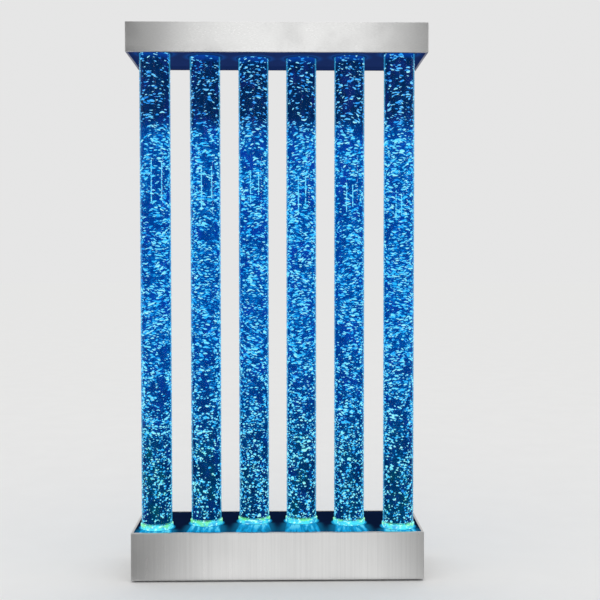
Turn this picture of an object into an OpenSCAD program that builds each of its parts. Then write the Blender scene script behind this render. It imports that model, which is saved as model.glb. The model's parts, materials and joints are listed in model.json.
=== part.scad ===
// Free-standing wall of six water-filled bubble tubes between a base box and a cap box.
// Millimetres, +Z up, front towards -Y, origin on the floor under the centre of the base.

/* [Base box] */
// Width of the base box
base_w = 958; // [950:1:1100]
// Depth of the base box
base_d = 300; // [296:1:340]
// Height of the folded steel sides
base_h = 156; // [154:1:190]
// Thickness of the folded steel sheet
sheet_t = 1.5; // [1.2:0.1:2]
// Outside radius of the folded edges
bend_r = 2.6; // [2.4:0.1:4]
// Width of the narrow flange around the deck
base_return = 8; // [6:0.5:12]
// Thickness of the dark deck panel
deck_t = 12; // [10:0.5:14]
// Thickness of the floor pan
pan_t = 2; // [1.5:0.1:3]
// Height of the flanges around the floor pan
pan_flange_h = 14; // [12:1:20]

/* [Feet] */
// Height of a rubber foot
foot_h = 6; // [5:0.5:12]
// Radius of a rubber foot
foot_r = 20; // [14:0.5:24]

/* [Tubes] */
// Outside diameter of a tube
tube_od = 101.6; // [90:0.1:104]
// Wall of a tube
tube_wall = 3.2; // [2.6:0.1:4.5]
// Distance from an end tube's centre to the side of the narrower box
tube_end_gap = 76.5; // [73:0.5:110]
// Radius of the shallow arc that the tubes stand on
arc_r = 1030; // [960:5:2000]
// Distance of the arc's crown behind the middle
arc_crown_y = 15; // [8:1:20]
// Clear height between the base box and the cap box
clear_h = 1555; // [900:5:1900]
// Length of tube that stands above the underside panel
tube_rise = 23; // [20:0.5:26]
// Height of the air gap between the water and the tube's rim
air_gap = 21; // [19:0.5:22]

/* [Tube foot] */
// Height of the clear collar around a tube's foot
collar_h = 14; // [8:0.5:18]
// Wall of that collar
collar_wall = 3; // [2:0.1:4]
// Height of the clear spigot inside a tube
spigot_h = 20; // [16:0.5:30]
// Thickness of the plug under the tube's end
plug_floor = 4; // [3:0.5:6]
// Radius of the neck that passes through the deck
neck_r = 30; // [26:0.5:31]
// Thickness of the foot gasket
gasket_t = 1; // [0.8:0.1:2]
// Thickness of the lock ring under the deck
lock_t = 9; // [7:0.5:10]
// Radius of the air diffuser
diffuser_r = 9; // [6:0.5:12]
// Height of the diffuser above the spigot
diffuser_h = 6; // [4:0.5:10]

/* [Lighting] */
// Radius of a light ring board
board_r = 34; // [30:0.5:35]
// Number of light chips on each ring
chip_count = 9; // [6:1:12]
// Height of the heat sink fins
fin_h = 12; // [8:0.5:14]

/* [Cap box] */
// Width of the cap box
cap_w = 974; // [966:1:1116]
// Depth of the cap box
cap_d = 314; // [314:1:360]
// Height of the cap box
cap_h = 96; // [94:1:130]
// Width of the flange under the cap's rim
cap_return = 8; // [6:0.5:12]
// Depth of the recess under the cap
soffit_recess = 12; // [9:0.5:14]
// Thickness of the underside panel
soffit_t = 5; // [4:0.5:7]
// Height of the lid's folded edge
lid_edge_h = 10; // [8:0.5:14]
// Length of a finger slot in the lid
finger_slot_l = 70; // [50:1:90]
// Width of a finger slot in the lid
finger_slot_w = 22; // [18:0.5:28]

/* [Tube head] */
// Wall of the rubber grommet around a tube
grommet_wall = 5; // [4:0.5:6]
// Thickness of the seating lip over a tube's rim
lip_t = 3; // [2.5:0.5:4]
// Radius of the finger knob on a vent cap
vent_knob_r = 11; // [8:0.5:14]
// Depth of the skirt on a vent cap
vent_skirt_h = 11; // [8:0.5:12]

/* [Air] */
// Spacing of the valve stations
station_pitch = 36; // [32:1:38]
// Side of the manifold bar
bar_side = 22; // [18:1:26]
// Radius of a valve knob
knob_r = 10; // [8:0.5:12]
// Length of a valve knob
knob_l = 12; // [9:0.5:13]
// Radius of a hose barb
barb_r = 1.95; // [1.8:0.05:2]
// Outside radius of an airline
hose_r = 3; // [2.8:0.1:3.4]
// Bore radius of an airline
hose_bore_r = 2.3; // [2.25:0.05:2.4]
// Length of the air pump
pump_l = 150; // [130:1:160]
// Depth of the air pump
pump_d = 96; // [80:1:104]

/* [Back panel] */
// Width of the service opening
door_gap_w = 280; // [240:1:290]
// Height of the service opening
door_gap_h = 78; // [76:1:90]
// Overlap of the door around its opening
door_overlap = 6; // [5:0.5:8]
// Radius of a louvre hood
louvre_r = 5.5; // [4.5:0.5:6]
// Width of a louvre
louvre_w = 70; // [50:1:74]
// Radius of the hinge pin
hinge_pin_r = 1.2; // [1:0.1:1.4]
// Outside radius of the hinge knuckles
knuckle_r = 3; // [2.7:0.1:3.2]
// Travel of the colour-change button
button_travel = 2.5; // [1.5:0.5:3]
// Tilt of the rocker switch to each side
rocker_tilt = 10; // [7:0.5:11]

/* [Hidden] */
$fn = 72;
tube_count = 6;
tube_pitch = (min(base_w, cap_w) - 2 * tube_end_gap) / (tube_count - 1);

// Clearances
slack = 0.3;        // between pieces that move apart or slide in by hand
slip = 0.1;         // between pieces that are glued or pressed together
running = 0.05;     // radial, around a turning or sliding pin
cut = 1;            // how far a cutting shape runs past a face

// Levels, from the floor up
pan_bottom = foot_h;
pan_top = pan_bottom + pan_t;
base_top = foot_h + base_h;
deck_top = base_top - sheet_t;
deck_bottom = deck_top - deck_t;
plug_z = deck_top + gasket_t;
tube_bottom = plug_z + plug_floor;
spigot_top = tube_bottom + spigot_h - plug_floor;
cap_bottom = base_top + clear_h;
cap_top = cap_bottom + cap_h;
soffit_z = cap_bottom + soffit_recess;
soffit_top = soffit_z + soffit_t;
tube_top = soffit_top + tube_rise;
water_top = tube_top - air_gap;
collar_top = tube_top + lip_t;
lid_ledge_top = cap_top - lid_edge_h - slack;

// Faces of the boxes
base_side = base_w / 2;
panel_out = base_d / 2;
panel_in = panel_out - sheet_t;
wall_in_x = base_side - sheet_t;
cap_in_x = cap_w / 2 - sheet_t;
cap_in_y = cap_d / 2 - sheet_t;

// Tubes
tube_r = tube_od / 2;
bore_r = tube_r - tube_wall;
function tube_x(k) = (k - (tube_count + 1) / 2) * tube_pitch;
function tube_y(k) = arc_crown_y - (arc_r - sqrt(arc_r * arc_r - tube_x(k) * tube_x(k)));

// Tube foot
collar_r = tube_r + slip + collar_wall;
neck_bottom = deck_bottom - lock_t - gasket_t;
lock_r = neck_r + 11;
chip_gap = 1.5;
chip_h = 1.2;
chip_side = 4.5;
board_t = 1.6;
board_top = neck_bottom - chip_gap - chip_h;
sink_top = board_top - board_t;
sink_plate_t = 3;
sink_r = board_r + 2;
sink_hole_r = 8;
fin_count = 12;
fin_t = 1.6;
ear_r = 47;
ear_side = 9;
pillar_r = 3.5;
lead_plug = [8, 9, 4];
foot_barb_l = 14;
barb_bore_r = 0.9;
barb_drop = 6;      // the foot's barb ends this far below the fins
barb_tip_z = sink_top - sink_plate_t - fin_h - barb_drop;
barb_root_z = barb_tip_z + foot_barb_l;

// Deck frame and pan
angle_side = 25;
angle_t = 3;
frame_bottom = deck_bottom - angle_side;
cross_t = 6;
post_side = 20;
post_wall = 2;
post_inset = sheet_t + slack + angle_t + post_side / 2;
foot_inset = 40;
pan_slot = [60, 5];

// Tube head
grommet_lip = 3;
grommet_lip_t = 2;
collar_flange_r = tube_r + 19;
collar_flange_t = 4;
collar_sleeve_r = tube_r + 6;
seat_r = bore_r - 1.6;
vent_skirt_r = seat_r - 0.6;
vent_skirt_wall = 2;
vent_flange_r = tube_r + 3;
vent_flange_t = 3;
vent_dome_t = 2.5;
vent_dome_rise = 2;
vent_knob_h = 6;
vent_hole_r = 2;
ledge_w = 10;
finger_slot_inset = 90;

// Back panel layout
hinge_z = 30;
hinge_y = panel_out + knuckle_r;
door_t = 1.5;
door_y = panel_out + 0.4;
door_bottom = hinge_z + knuckle_r + 0.6;
door_gap_z = door_bottom + door_overlap;
door_gap_top = door_gap_z + door_gap_h;
door_top = door_gap_top + door_overlap;
door_w = door_gap_w + 2 * door_overlap;
door_flange_d = 10;
pull_w = 100;
pull_d = 4.5;
leaf_t = 1.2;
leaf_h = 17;
knuckle_l = 40;
knuckle_count = 5;
knuckle_gap = 0.4;
catch_x = 100;
catch_size = [26, 16, 15];
controls_z = 64;
inlet_side_gap = 79;
inlet_x = base_side - inlet_side_gap;
switch_x = inlet_x - 52;
button_x = switch_x - 38;
louvre_cols = 2;
louvre_rows = 5;
louvre_pitch_z = 15;
louvre_pitch_x = louvre_w + 14;
louvre_side_gap = 139;
louvre_x = -(base_side - louvre_side_gap);
louvre_z = 44;
louvre_wall = 1.2;

// Inlet, switch and button
inlet_flange = [50, 2.5, 25];
inlet_body = [27.4, 22, 19.8];
inlet_cavity = [24, 19, 16.4];
inlet_chamfer = 4.5;
pin_size = [2, 13.5, 4];
pin_gap_x = 7;
inlet_screw_x = 20;
switch_bezel = [26, 2, 19];
switch_body = [22, 20, 15];
rocker_half = 8.5;
rocker_thick = 4;
rocker_z = 12;
axle_r = 1;
axle_l = 1.2;
button_r = 4.3;
button_proud = 3.5;
button_bezel_r = 8;
button_body_l = 18;

// Air parts
manifold_y = 84;
manifold_z = 62;
bar_end = 20;
bar_l = (tube_count - 1) * station_pitch + 2 * bar_end;
hex_r = 7.5;
hex_l = 5;
gland_r = 5;
gland_l = 6;
spindle_r = 2;
spindle_l = 9;
barb_l = 12;
valve_r = 9;
valve_cone_l = 6;
valve_drum_l = 8;
valve_l = 2 * valve_cone_l + valve_drum_l;
valve_gap = 8;
valve_y = manifold_y - bar_side / 2 - hex_l - 2 * barb_l - valve_gap;
hose_sides = 8;
hose_lanes = [[80, 60], [100, 100], [65, 45]];   // swing at both ends of a hose, outer pair first
pump_side_gap = 59;
pump_x = -(base_side - pump_side_gap - pump_l / 2);
pump_y = 62;
pump_body_h = 42;
pump_cover_h = 26;
bobbin_h = 8;
bobbin_r = 9;
pump_z = pan_top + bobbin_h;
pump_wall = 2.5;

// Electrical boxes
controller = [100, 70, 28];
controller_side_gap = 19;
controller_x = base_side - controller_side_gap - controller[0] / 2;
controller_y = 22;
psu = [160, 95, 38];
psu_gap = 30;
psu_x = controller_x - (controller[0] + psu[0]) / 2 - psu_gap;
psu_y = 66;
lead_r = 2;
lead_sides = 6;

// Screws
screw_r = 2;
screw_head_r = 4;
screw_head_h = 2.2;
screw_l = 8;
screw_hole_r = screw_r + slip;
upper_screw_z = deck_bottom - angle_side / 2;
lower_screw_z = pan_top + pan_flange_h / 2;
upper_screw_x = [for (k = [1:tube_count]) tube_x(k)];
lower_screw_x = [for (k = [1, 2, tube_count - 1, tube_count]) tube_x(k)];
collar_screw_r = tube_r + 13.5;
collar_screws = 3;
small_screw_r = 1.5;

// Colours
steel = [0.80, 0.80, 0.80];
dark_steel = [0.30, 0.31, 0.33];
deck_blue = [0.03, 0.08, 0.19];
soffit_blue = [0.08, 0.17, 0.42];
clear_blue = [0.45, 0.75, 0.95, 0.35];
water_blue = [0.12, 0.42, 0.72];
glow_green = [0.55, 0.95, 0.75];
black = [0.10, 0.10, 0.11];

// ---------- shared shapes ----------

module at_tube(k) {
    translate([tube_x(k), tube_y(k), 0]) children();
}

module each_tube() {
    for (k = [1:tube_count]) at_tube(k) children();
}

module turned(profile) {
    rotate_extrude(convexity = 8) polygon(profile);
}

module ring(r_out, r_in, h) {
    difference() {
        cylinder(r = r_out, h = h);
        translate([0, 0, -cut]) cylinder(r = r_in, h = h + 2 * cut);
    }
}

// A rectangle standing on y = 0, its lower and upper corners rounded on their own radii
module edge_profile(w, h, r_low, r_high) {
    low = max(r_low, 0);
    high = max(r_high, 0);
    translate([-w / 2, low]) square([w, h - low - high]);
    if (low > 0) {
        translate([-w / 2 + low, 0]) square([w - 2 * low, h / 2]);
        for (s = [-1, 1]) translate([s * (w / 2 - low), low]) circle(low);
    }
    if (high > 0) {
        translate([-w / 2 + high, h / 2]) square([w - 2 * high, h / 2]);
        for (s = [-1, 1]) translate([s * (w / 2 - high), h - high]) circle(high);
    }
}

module round_rect(w, d, r) {
    square([w - 2 * r, d], center = true);
    square([w, d - 2 * r], center = true);
    for (sx = [-1, 1], sy = [-1, 1]) {
        translate([sx * (w / 2 - r), sy * (d / 2 - r)]) circle(r);
    }
}

// A folded box: upright corners, lower edges and upper edges each have a radius
module bent_box(w, d, h, r_plan, r_low, r_high) {
    intersection() {
        linear_extrude(h) round_rect(w, d, r_plan);
        rotate([90, 0, 0]) translate([0, 0, -d / 2 - cut])
            linear_extrude(d + 2 * cut) edge_profile(w, h, r_low, r_high);
        rotate([90, 0, 90]) translate([0, 0, -w / 2 - cut])
            linear_extrude(w + 2 * cut) edge_profile(d, h, r_low, r_high);
    }
}

// A box centred in x and y that stands on z = 0
module block(size) {
    translate([-size[0] / 2, -size[1] / 2, 0]) cube(size);
}

// Points outward along +Y from the back panel's outer face at the given place
module on_back(x, z) {
    translate([x, panel_out, z]) rotate([-90, 0, 0]) children();
}

// A ridged hose barb along +Z, root at z = 0
module barb(l) {
    ridge = l / 4;
    neck = barb_r * 0.82;
    turned([[0, 0], [neck, 0], [neck, ridge], [barb_r, ridge], [neck, 2 * ridge],
            [barb_r, 2 * ridge], [neck, 3 * ridge], [barb_r, 3 * ridge],
            [neck * 0.8, l], [0, l]]);
}

// ---------- hoses and leads ----------

function unit(v) = v / norm(v);
function bezier(p, t) =
    pow(1 - t, 3) * p[0] + 3 * pow(1 - t, 2) * t * p[1]
    + 3 * (1 - t) * t * t * p[2] + t * t * t * p[3];

// Straight out of each end for lead_in, then one smooth curve between
function route(a, a_dir, b, b_dir, lead_in, reach, steps) =
    let (a1 = a + a_dir * lead_in, b1 = b + b_dir * lead_in,
         p = [a1, a1 + a_dir * reach[0], b1 + b_dir * reach[1], b1])
    concat([a], [for (i = [0:steps]) bezier(p, i / steps)], [b]);

function tangents(p) = [for (i = [0:len(p) - 1])
    unit(p[min(i + 1, len(p) - 1)] - p[max(i - 1, 0)])];
function square_to(t, v) = unit(v - (v * t) * t);
function first_side(t) = square_to(t, abs(t[2]) > 0.9 ? [1, 0, 0] : [0, 0, 1]);
function sides(t) = [for (i = 0, u = first_side(t[0]); i < len(t);
    i = i + 1, u = i < len(t) ? square_to(t[i], u) : u) u];

function ring_points(p, t, u, r, n) =
    [for (i = [0:len(p) - 1], k = [0:n - 1])
        let (v = cross(t[i], u[i]), a = 360 * k / n)
        p[i] + r * (cos(a) * u[i] + sin(a) * v)];

function skin(rows, n, first, outward) =
    [for (i = [0:rows - 2], k = [0:n - 1], half = [0, 1])
        let (a = first + i * n + k, b = first + i * n + (k + 1) % n,
             c = a + n, d = b + n,
             tri = half == 0 ? [a, c, b] : [b, c, d])
        outward ? tri : [tri[2], tri[1], tri[0]]];

function end_ring(outer, inner, n, flip) =
    [for (k = [0:n - 1], half = [0, 1])
        let (a = outer + k, b = outer + (k + 1) % n,
             c = inner + k, d = inner + (k + 1) % n,
             tri = half == 0 ? [a, b, c] : [b, d, c])
        flip ? [tri[2], tri[1], tri[0]] : tri];

// An airline with its bore, swept along p
module hose(p) {
    t = tangents(p);
    u = sides(t);
    rows = len(p);
    n = hose_sides;
    inner = rows * n;
    points = concat(ring_points(p, t, u, hose_r, n), ring_points(p, t, u, hose_bore_r, n));
    polyhedron(points, concat(
        skin(rows, n, 0, true), skin(rows, n, inner, false),
        end_ring(0, inner, n, false),
        end_ring((rows - 1) * n, inner + (rows - 1) * n, n, true)), convexity = 6);
}

// A solid electrical lead, swept along p
module lead(p, r = lead_r) {
    t = tangents(p);
    u = sides(t);
    rows = len(p);
    n = lead_sides;
    polyhedron(ring_points(p, t, u, r, n), concat(
        skin(rows, n, 0, true),
        [[for (k = [0:n - 1]) k]],
        [[for (k = [0:n - 1]) rows * n - 1 - k]]), convexity = 6);
}

// ---------- tubes ----------

module acrylic_tube(k) color(clear_blue) at_tube(k)
    translate([0, 0, tube_bottom]) ring(tube_r, bore_r, tube_top - tube_bottom);

// Clear turned foot: collar, spigot, neck through the deck, air way and barb
module tube_plug(k) color(glow_green) at_tube(k) {
    groove_in = bore_r - slip;
    groove_out = tube_r + slip;
    air_r = 1.2;
    pocket_r = diffuser_r + slip;
    pocket_z = spigot_top - diffuser_h;
    collar_z = plug_z + collar_h;
    stem_r = 5;
    turned([[air_r, barb_root_z], [stem_r, barb_root_z], [stem_r, neck_bottom],
            [neck_r, neck_bottom], [neck_r, plug_z], [collar_r, plug_z],
            [collar_r, collar_z], [groove_out, collar_z], [groove_out, tube_bottom],
            [groove_in, tube_bottom], [groove_in, spigot_top],
            [pocket_r, spigot_top], [pocket_r, pocket_z], [air_r, pocket_z]]);
    translate([0, 0, barb_root_z]) rotate([180, 0, 0]) difference() {
        barb(foot_barb_l);
        translate([0, 0, -cut]) cylinder(r = barb_bore_r, h = foot_barb_l + 2 * cut);
    }
}

module water_columns() color(water_blue) each_tube() {
    r = bore_r - slip;
    pocket_r = diffuser_r + slip;
    pocket_top = spigot_top + diffuser_h + slip;
    turned([[0, pocket_top], [pocket_r, pocket_top], [pocket_r, spigot_top], [r, spigot_top],
            [r, water_top], [0, water_top]]);
}

module air_diffusers() color("gainsboro") each_tube() {
    z = spigot_top - diffuser_h;
    shoulder = diffuser_r - 2;
    turned([[0, z], [diffuser_r, z], [diffuser_r, spigot_top + diffuser_h - 2],
            [shoulder, spigot_top + diffuser_h], [0, spigot_top + diffuser_h]]);
}

module tube_gaskets() color(black) each_tube()
    translate([0, 0, deck_top]) ring(collar_r - 1, neck_r + slip, gasket_t);

// Ring nuts under the deck, notched for a pin spanner
module tube_lock_rings() color(dark_steel) each_tube()
    translate([0, 0, deck_bottom - lock_t]) difference() {
        ring(lock_r, neck_r + slip, lock_t);
        for (a = [0:60:300]) rotate([0, 0, a]) translate([lock_r - 3, -3, -cut])
            cube([2 * lock_r, 6, lock_t + 2 * cut]);
    }

module led_rings() color("ivory") each_tube() {
    translate([0, 0, sink_top]) ring(board_r, sink_hole_r, board_t);
    for (i = [0:chip_count - 1]) rotate([0, 0, 360 * i / chip_count + 20])
        translate([board_r * 0.68, 0, sink_top + board_t / 2])
            block([chip_side, chip_side, chip_h + board_t / 2]);
    for (s = [-1, 1]) translate([s * (board_r + lead_plug[0] / 2 - 3), 0, sink_top])
        block(lead_plug);
}

// Finned sinks, each hung from the deck on three pillars
module led_heatsinks() color("silver") each_tube() {
    base_z = sink_top - sink_plate_t;
    difference() {
        union() {
            translate([0, 0, base_z]) cylinder(r = sink_r, h = sink_plate_t);
            for (a = [30, 150, 270]) rotate([0, 0, a]) {
                translate([sink_r - 4, -ear_side / 2, base_z])
                    cube([ear_r - sink_r + 4, ear_side, sink_plate_t]);
                translate([ear_r, 0, base_z]) cylinder(r = ear_side / 2, h = sink_plate_t);
                translate([ear_r, 0, base_z]) cylinder(r = pillar_r, h = deck_bottom - base_z);
            }
            translate([0, 0, base_z - fin_h]) cylinder(r = sink_hole_r + 2, h = fin_h);
            for (i = [0:fin_count - 1]) rotate([0, 0, 360 * i / fin_count])
                translate([sink_hole_r + 1, -fin_t / 2, base_z - fin_h])
                    cube([sink_r - sink_hole_r - 2, fin_t, fin_h]);
        }
        translate([0, 0, base_z - fin_h - cut])
            cylinder(r = sink_hole_r, h = fin_h + sink_plate_t + 2 * cut);
    }
}

// ---------- base box ----------

// Front, two sides and the narrow top flange, folded from one sheet
module base_fascia() color(steel) {
    spare = 30;     // the folded box runs on behind the open back, where it is cut off
    difference() {
        translate([0, spare, foot_h])
            bent_box(base_w, base_d + 2 * spare, base_h, bend_r, 0, bend_r);
        translate([0, spare, foot_h - cut]) bent_box(base_w - 2 * sheet_t,
            base_d + 2 * (spare - sheet_t), base_h - sheet_t + cut, bend_r - sheet_t, 0,
            bend_r - sheet_t);
        translate([-base_side + base_return, -panel_out + base_return, deck_top - cut])
            cube([base_w - 2 * base_return, base_d, sheet_t + 2 * cut]);
        translate([-base_side - cut, panel_in - slip, 0])
            cube([base_w + 2 * cut, 3 * spare, base_top + cut]);
    }
}

module base_deck() color(deck_blue) difference() {
    translate([0, 0, deck_bottom]) bent_box(2 * (wall_in_x - slack), 2 * (panel_in - slack),
        deck_t, bend_r, 0, bend_r - sheet_t);
    each_tube() translate([0, 0, deck_bottom - cut]) cylinder(r = neck_r + slip, h = deck_t + 2 * cut);
}

// One length of angle along +X: its upright leg outside, its flat leg under the deck
module angle_bar(l) {
    translate([-l / 2, 0, 0]) cube([l, angle_t, angle_side]);
    translate([-l / 2, 0, angle_side - angle_t]) cube([l, angle_side, angle_t]);
}

module deck_frame() color(dark_steel) {
    reach_x = wall_in_x - slack;
    reach_y = panel_in - slack;
    difference() {
        union() {
            translate([0, -reach_y, frame_bottom]) angle_bar(2 * reach_x);
            translate([0, reach_y, frame_bottom]) rotate([0, 0, 180]) angle_bar(2 * reach_x);
            translate([reach_x, 0, frame_bottom]) rotate([0, 0, 90]) angle_bar(2 * reach_y);
            translate([-reach_x, 0, frame_bottom]) rotate([0, 0, -90]) angle_bar(2 * reach_y);
            for (k = [1:tube_count - 1])
                translate([(tube_x(k) + tube_x(k + 1)) / 2, 0, frame_bottom])
                    block([cross_t, 2 * (reach_y - angle_t / 2), angle_side]);
            for (x = [-(base_side - post_inset), -tube_pitch, tube_pitch, base_side - post_inset],
                 s = [-1, 1])
                translate([x, s * (panel_out - post_inset), pan_top])
                    block([post_side, post_side, deck_bottom - angle_t / 2 - pan_top]);
        }
        for (x = [-(base_side - post_inset), -tube_pitch, tube_pitch, base_side - post_inset],
             s = [-1, 1])
            translate([x, s * (panel_out - post_inset), pan_top - cut])
                block([post_side - 2 * post_wall, post_side - 2 * post_wall,
                       frame_bottom - pan_top + cut - post_wall]);
        for (x = upper_screw_x) translate([x, 0, upper_screw_z]) rotate([-90, 0, 0])
            translate([0, 0, reach_y - screw_l]) cylinder(r = screw_hole_r, h = 2 * screw_l);
    }
}

module base_pan() color(dark_steel) {
    w = 2 * (wall_in_x - slack);
    d = 2 * (panel_in - slack);
    difference() {
        translate([0, 0, pan_bottom]) block([w, d, pan_t + pan_flange_h]);
        translate([0, 0, pan_top]) block([w - 2 * pan_t, d - 2 * pan_t, pan_flange_h + cut]);
        for (i = [-3:3], s = [-1, 1])
            translate([pump_x + s * (pan_slot[0] / 2 + 6), pump_y + i * 12, pan_bottom - cut])
                block([pan_slot[0], pan_slot[1], pan_t + 2 * cut]);
        for (x = lower_screw_x) translate([x, panel_in, lower_screw_z]) rotate([90, 0, 0])
            cylinder(r = screw_hole_r, h = screw_l);
    }
}

module feet() color(black) {
    groove_h = 1.2;
    for (x = [-1, 0, 1], y = [-1, 1])
        translate([x * (base_side - foot_inset), y * (panel_out - foot_inset), 0])
            turned([[5, 0], [foot_r - 2, 0], [foot_r - 0.6, groove_h], [foot_r, foot_h - 1],
                    [foot_r, foot_h], [0, foot_h], [0, foot_h / 2], [5, foot_h / 2]]);
}

// ---------- back of the base ----------

// A pressed hood, open below, standing on the back panel at y = 0
module louvre_hood() {
    intersection() {
        difference() {
            rotate([0, 90, 0]) cylinder(r = louvre_r, h = louvre_w, center = true);
            rotate([0, 90, 0])
                cylinder(r = louvre_r - louvre_wall, h = louvre_w - 2 * louvre_wall, center = true);
        }
        translate([-louvre_w / 2, 0, 0]) cube([louvre_w, louvre_r, louvre_r]);
    }
}

module each_louvre() {
    for (c = [0:louvre_cols - 1], r = [0:louvre_rows - 1])
        translate([louvre_x + (c - (louvre_cols - 1) / 2) * louvre_pitch_x, panel_out,
                   louvre_z + r * louvre_pitch_z]) children();
}

module rear_panel() color(steel) difference() {
    union() {
        translate([-base_side, panel_in, foot_h]) cube([base_w, sheet_t, base_h]);
        translate([-base_side + base_return + slip, panel_out - base_return, deck_top])
            cube([base_w - 2 * (base_return + slip), base_return, sheet_t]);
        each_louvre() louvre_hood();
    }
    each_louvre() translate([-louvre_w / 2 + louvre_wall, -sheet_t - cut, 0])
        cube([louvre_w - 2 * louvre_wall, sheet_t + cut + 0.01, louvre_r - louvre_wall - 0.5]);
    translate([-door_gap_w / 2, panel_in - cut, door_gap_z])
        cube([door_gap_w, sheet_t + 2 * cut, door_gap_h]);
    translate([inlet_x, panel_out, controls_z]) cube([inlet_body[0] + 2 * slip, 4 * sheet_t,
        inlet_body[2] + 2 * slip], center = true);
    translate([switch_x, panel_out, controls_z]) cube([switch_body[0] + 2 * slip, 4 * sheet_t,
        switch_body[2] + 2 * slip], center = true);
    on_back(button_x, controls_z) translate([0, 0, -3 * sheet_t])
        cylinder(r = button_r + 1.5 + slip, h = 6 * sheet_t);
    for (s = [-1, 1]) on_back(inlet_x + s * inlet_screw_x, controls_z)
        translate([0, 0, -3 * sheet_t]) cylinder(r = small_screw_r + slip, h = 6 * sheet_t);
    for (x = upper_screw_x) on_back(x, upper_screw_z)
        translate([0, 0, -3 * sheet_t]) cylinder(r = screw_hole_r, h = 6 * sheet_t);
    for (x = lower_screw_x) on_back(x, lower_screw_z)
        translate([0, 0, -3 * sheet_t]) cylinder(r = screw_hole_r, h = 6 * sheet_t);
}

// Fold-down flap with stiffening flanges inside the opening and a pull lip on top
module service_door() color(steel) {
    flange_x = door_gap_w / 2 - 2;
    translate([-door_w / 2, door_y, door_bottom]) cube([door_w, door_t, door_top - door_bottom]);
    for (s = [-1, 1]) translate([s * (flange_x - door_t / 2), 0, door_gap_z + 2])
        translate([-door_t / 2, door_y - door_flange_d, 0])
            cube([door_t, door_flange_d + door_t / 2, door_gap_h - 5]);
    translate([-pull_w / 2, door_y, door_top - door_t])
        cube([pull_w, door_t + pull_d, door_t]);
}

function knuckle_x(i) = (i - knuckle_count / 2) * knuckle_l;

module hinge_knuckle(i, bore) {
    translate([knuckle_x(i) + knuckle_gap / 2, hinge_y, hinge_z]) rotate([0, 90, 0])
        difference() {
            cylinder(r = knuckle_r, h = knuckle_l - knuckle_gap);
            translate([0, 0, -cut]) cylinder(r = bore, h = knuckle_l + 2 * cut);
        }
}

module hinge_bore(r) {
    translate([-knuckle_l * knuckle_count, hinge_y, hinge_z]) rotate([0, 90, 0])
        cylinder(r = r, h = 2 * knuckle_l * knuckle_count);
}

module door_hinge_fixed_leaf() color("gray") {
    l = knuckle_l * knuckle_count - knuckle_gap;
    bore = hinge_pin_r + 0.02;
    difference() {
        union() {
            translate([-l / 2, panel_out, hinge_z - leaf_h]) cube([l, leaf_t, leaf_h - knuckle_r - 1]);
            for (i = [0:2:knuckle_count - 1]) {
                hinge_knuckle(i, bore);
                translate([knuckle_x(i) + knuckle_gap / 2, panel_out, hinge_z - leaf_h])
                    cube([knuckle_l - knuckle_gap, leaf_t, leaf_h]);
            }
        }
        hinge_bore(bore);
    }
}

module door_hinge_door_leaf() color("gray") {
    leaf_y = door_y + door_t;
    bore = hinge_pin_r + running;
    difference() {
        union() for (i = [1:2:knuckle_count - 1]) {
            hinge_knuckle(i, bore);
            translate([knuckle_x(i) + knuckle_gap / 2, leaf_y, hinge_z])
                cube([knuckle_l - knuckle_gap, leaf_t, leaf_h]);
        }
        hinge_bore(bore);
    }
}

module door_hinge_pin() color("silver") {
    l = knuckle_l * knuckle_count + 2;
    translate([-l / 2, hinge_y, hinge_z]) rotate([0, 90, 0]) cylinder(r = hinge_pin_r, h = l);
}

// Magnetic catches behind the top edge of the service opening
module door_catches() color(black) {
    overhang = 10;
    for (s = [-1, 1]) translate([s * catch_x, panel_in - slip, door_gap_top - overhang]) {
        translate([-catch_size[0] / 2, -catch_size[1], 0]) cube(catch_size);
        translate([-catch_size[0] / 2 + 3, -cut, 1])
            cube([catch_size[0] - 6, sheet_t + cut, overhang - 3]);
    }
}

// ---------- mains side ----------

module inlet_outline(w, h, chamfer) {
    polygon([[-w / 2, -h / 2], [w / 2, -h / 2], [w / 2, h / 2 - chamfer],
             [w / 2 - chamfer, h / 2], [-w / 2 + chamfer, h / 2], [-w / 2, h / 2 - chamfer]]);
}

// Three-pin appliance inlet: flange outside, body through the panel, pins in the cavity
module power_inlet() color(black) {
    face = inlet_flange[1];
    translate([inlet_x, panel_out, controls_z]) rotate([90, 0, 0]) {
        difference() {
            union() {
                translate([0, 0, -face]) linear_extrude(face)
                    round_rect(inlet_flange[0], inlet_flange[2], 4);
                linear_extrude(inlet_body[1]) square([inlet_body[0], inlet_body[2]], center = true);
            }
            translate([0, 0, -face - cut]) linear_extrude(inlet_cavity[1] + cut)
                inlet_outline(inlet_cavity[0], inlet_cavity[2], inlet_chamfer);
            for (s = [-1, 1]) translate([s * inlet_screw_x, 0, -face - cut])
                cylinder(r = small_screw_r + slip, h = face + 2 * cut);
        }
        floor_z = inlet_cavity[1] - face;
        for (p = [[-pin_gap_x, -2], [0, 2], [pin_gap_x, -2]])
            translate([p[0] - pin_size[0] / 2, p[1] - pin_size[2] / 2, floor_z - pin_size[1]])
                cube([pin_size[0], pin_size[2], pin_size[1] + cut]);
    }
}

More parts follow.
